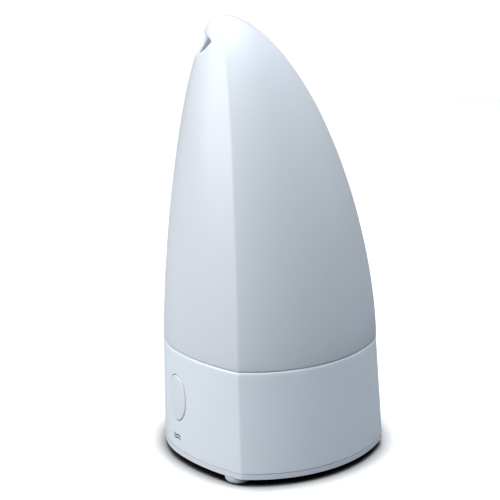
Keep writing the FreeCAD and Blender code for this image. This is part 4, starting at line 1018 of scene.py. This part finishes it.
# Painted contact shadow: the paper colour turns near black where the object closes over it, judged by
# occlusion within 22 mm.
contact_shadow_occlusion = add_node(paper, "ShaderNodeAmbientOcclusion", {"Distance": 0.022}, samples=8)
near = add_node(paper, "ShaderNodeMapRange", {
    "Value": contact_shadow_occlusion.outputs["AO"], "From Min": 0.35, "From Max": 0.85})
soft = add_node(paper, "ShaderNodeMix", {
    "Factor": near.outputs[0], 6: linear("#060708"), 7: shown.outputs[2]}, data_type="RGBA")
surface = add_node(paper, "ShaderNodeBsdfPrincipled", {
    "Base Color": soft.outputs[2], "Roughness": 0.9, "Specular IOR Level": 0.1})
add_node(paper, "ShaderNodeOutputMaterial", {"Surface": surface.outputs[0]})
floor_mesh.materials.append(paper)

# White stays white: colours are shown as they are, without a film curve.
bpy.context.scene.view_settings.view_transform = "Standard"

# The room behind the camera is dimmer and cooler than the white sweep that the camera sees.
world = bpy.data.worlds.new("studio")
bpy.context.scene.world = world
world.use_nodes = True
world.node_tree.nodes.clear()
sky = add_node(world, "ShaderNodeTexCoord", {})
height = add_node(world, "ShaderNodeSeparateXYZ", {"Vector": sky.outputs["Generated"]})
lift = add_node(world, "ShaderNodeMapRange", {
    "Value": height.outputs["Z"], "From Min": 0.0, "From Max": 0.9})
tone = add_node(world, "ShaderNodeMix", {
    "Factor": lift.outputs[0], 6: linear("#4A5560"), 7: linear("#C8D4E0")}, data_type="RGBA")
room = add_node(world, "ShaderNodeBackground", {"Color": tone.outputs[2], "Strength": 0.35})
sweep = add_node(world, "ShaderNodeBackground", {"Color": (1, 1, 1, 1), "Strength": 1.05})
seen = add_node(world, "ShaderNodeLightPath", {})
both = add_node(world, "ShaderNodeMixShader", {
    "Fac": seen.outputs["Is Camera Ray"], 1: room.outputs[0], 2: sweep.outputs[0]})
add_node(world, "ShaderNodeOutputWorld", {"Surface": both.outputs[0]})


def soft_light(name, place, target, size, power, colour):
    """A rectangular softbox at a place, turned towards a target."""
    data = bpy.data.lights.new(name, "AREA")
    data.shape = "RECTANGLE"
    data.size, data.size_y = size
    data.energy = power
    data.color = colour
    lamp = bpy.data.objects.new(name, data)
    lamp.location = place
    lamp.rotation_euler = (Vector(target) - Vector(place)).to_track_quat("-Z", "Y").to_euler()
    bpy.context.scene.collection.objects.link(lamp)


soft_light("top softbox", (0.0, 0.1, 1.6), (0, 0, 0), (1.8, 1.8), 35, (0.97, 0.985, 1))
soft_light("right softbox", (1.2, 0.1, 1.6), (0, 0, 0.1), (1.4, 1.4), 15, (0.9, 0.96, 1))
soft_light("front softbox", (0.25, -1.4, 0.55), (0, 0, 0.1), (1.2, 0.9), 19, (1, 0.99, 0.98))

camera_data = bpy.data.cameras.new("camera")
camera_data.sensor_width = 36
camera_data.lens = 103.56
camera_data.shift_y = -0.014
camera_data.clip_start = 0.01
camera = bpy.data.objects.new("camera", camera_data)
camera_target = Vector((0, -0.0131, 0.1216))
camera_distance = 0.8143
camera_azimuth = math.radians(80)
camera_elevation = math.radians(17.69)
camera.location = camera_target + camera_distance * Vector((
    math.sin(camera_azimuth) * math.cos(camera_elevation),
    -math.cos(camera_azimuth) * math.cos(camera_elevation),
    math.sin(camera_elevation)))
camera.rotation_euler = (camera_target - camera.location).to_track_quat("-Z", "Y").to_euler()
bpy.context.scene.collection.objects.link(camera)
bpy.context.scene.camera = camera
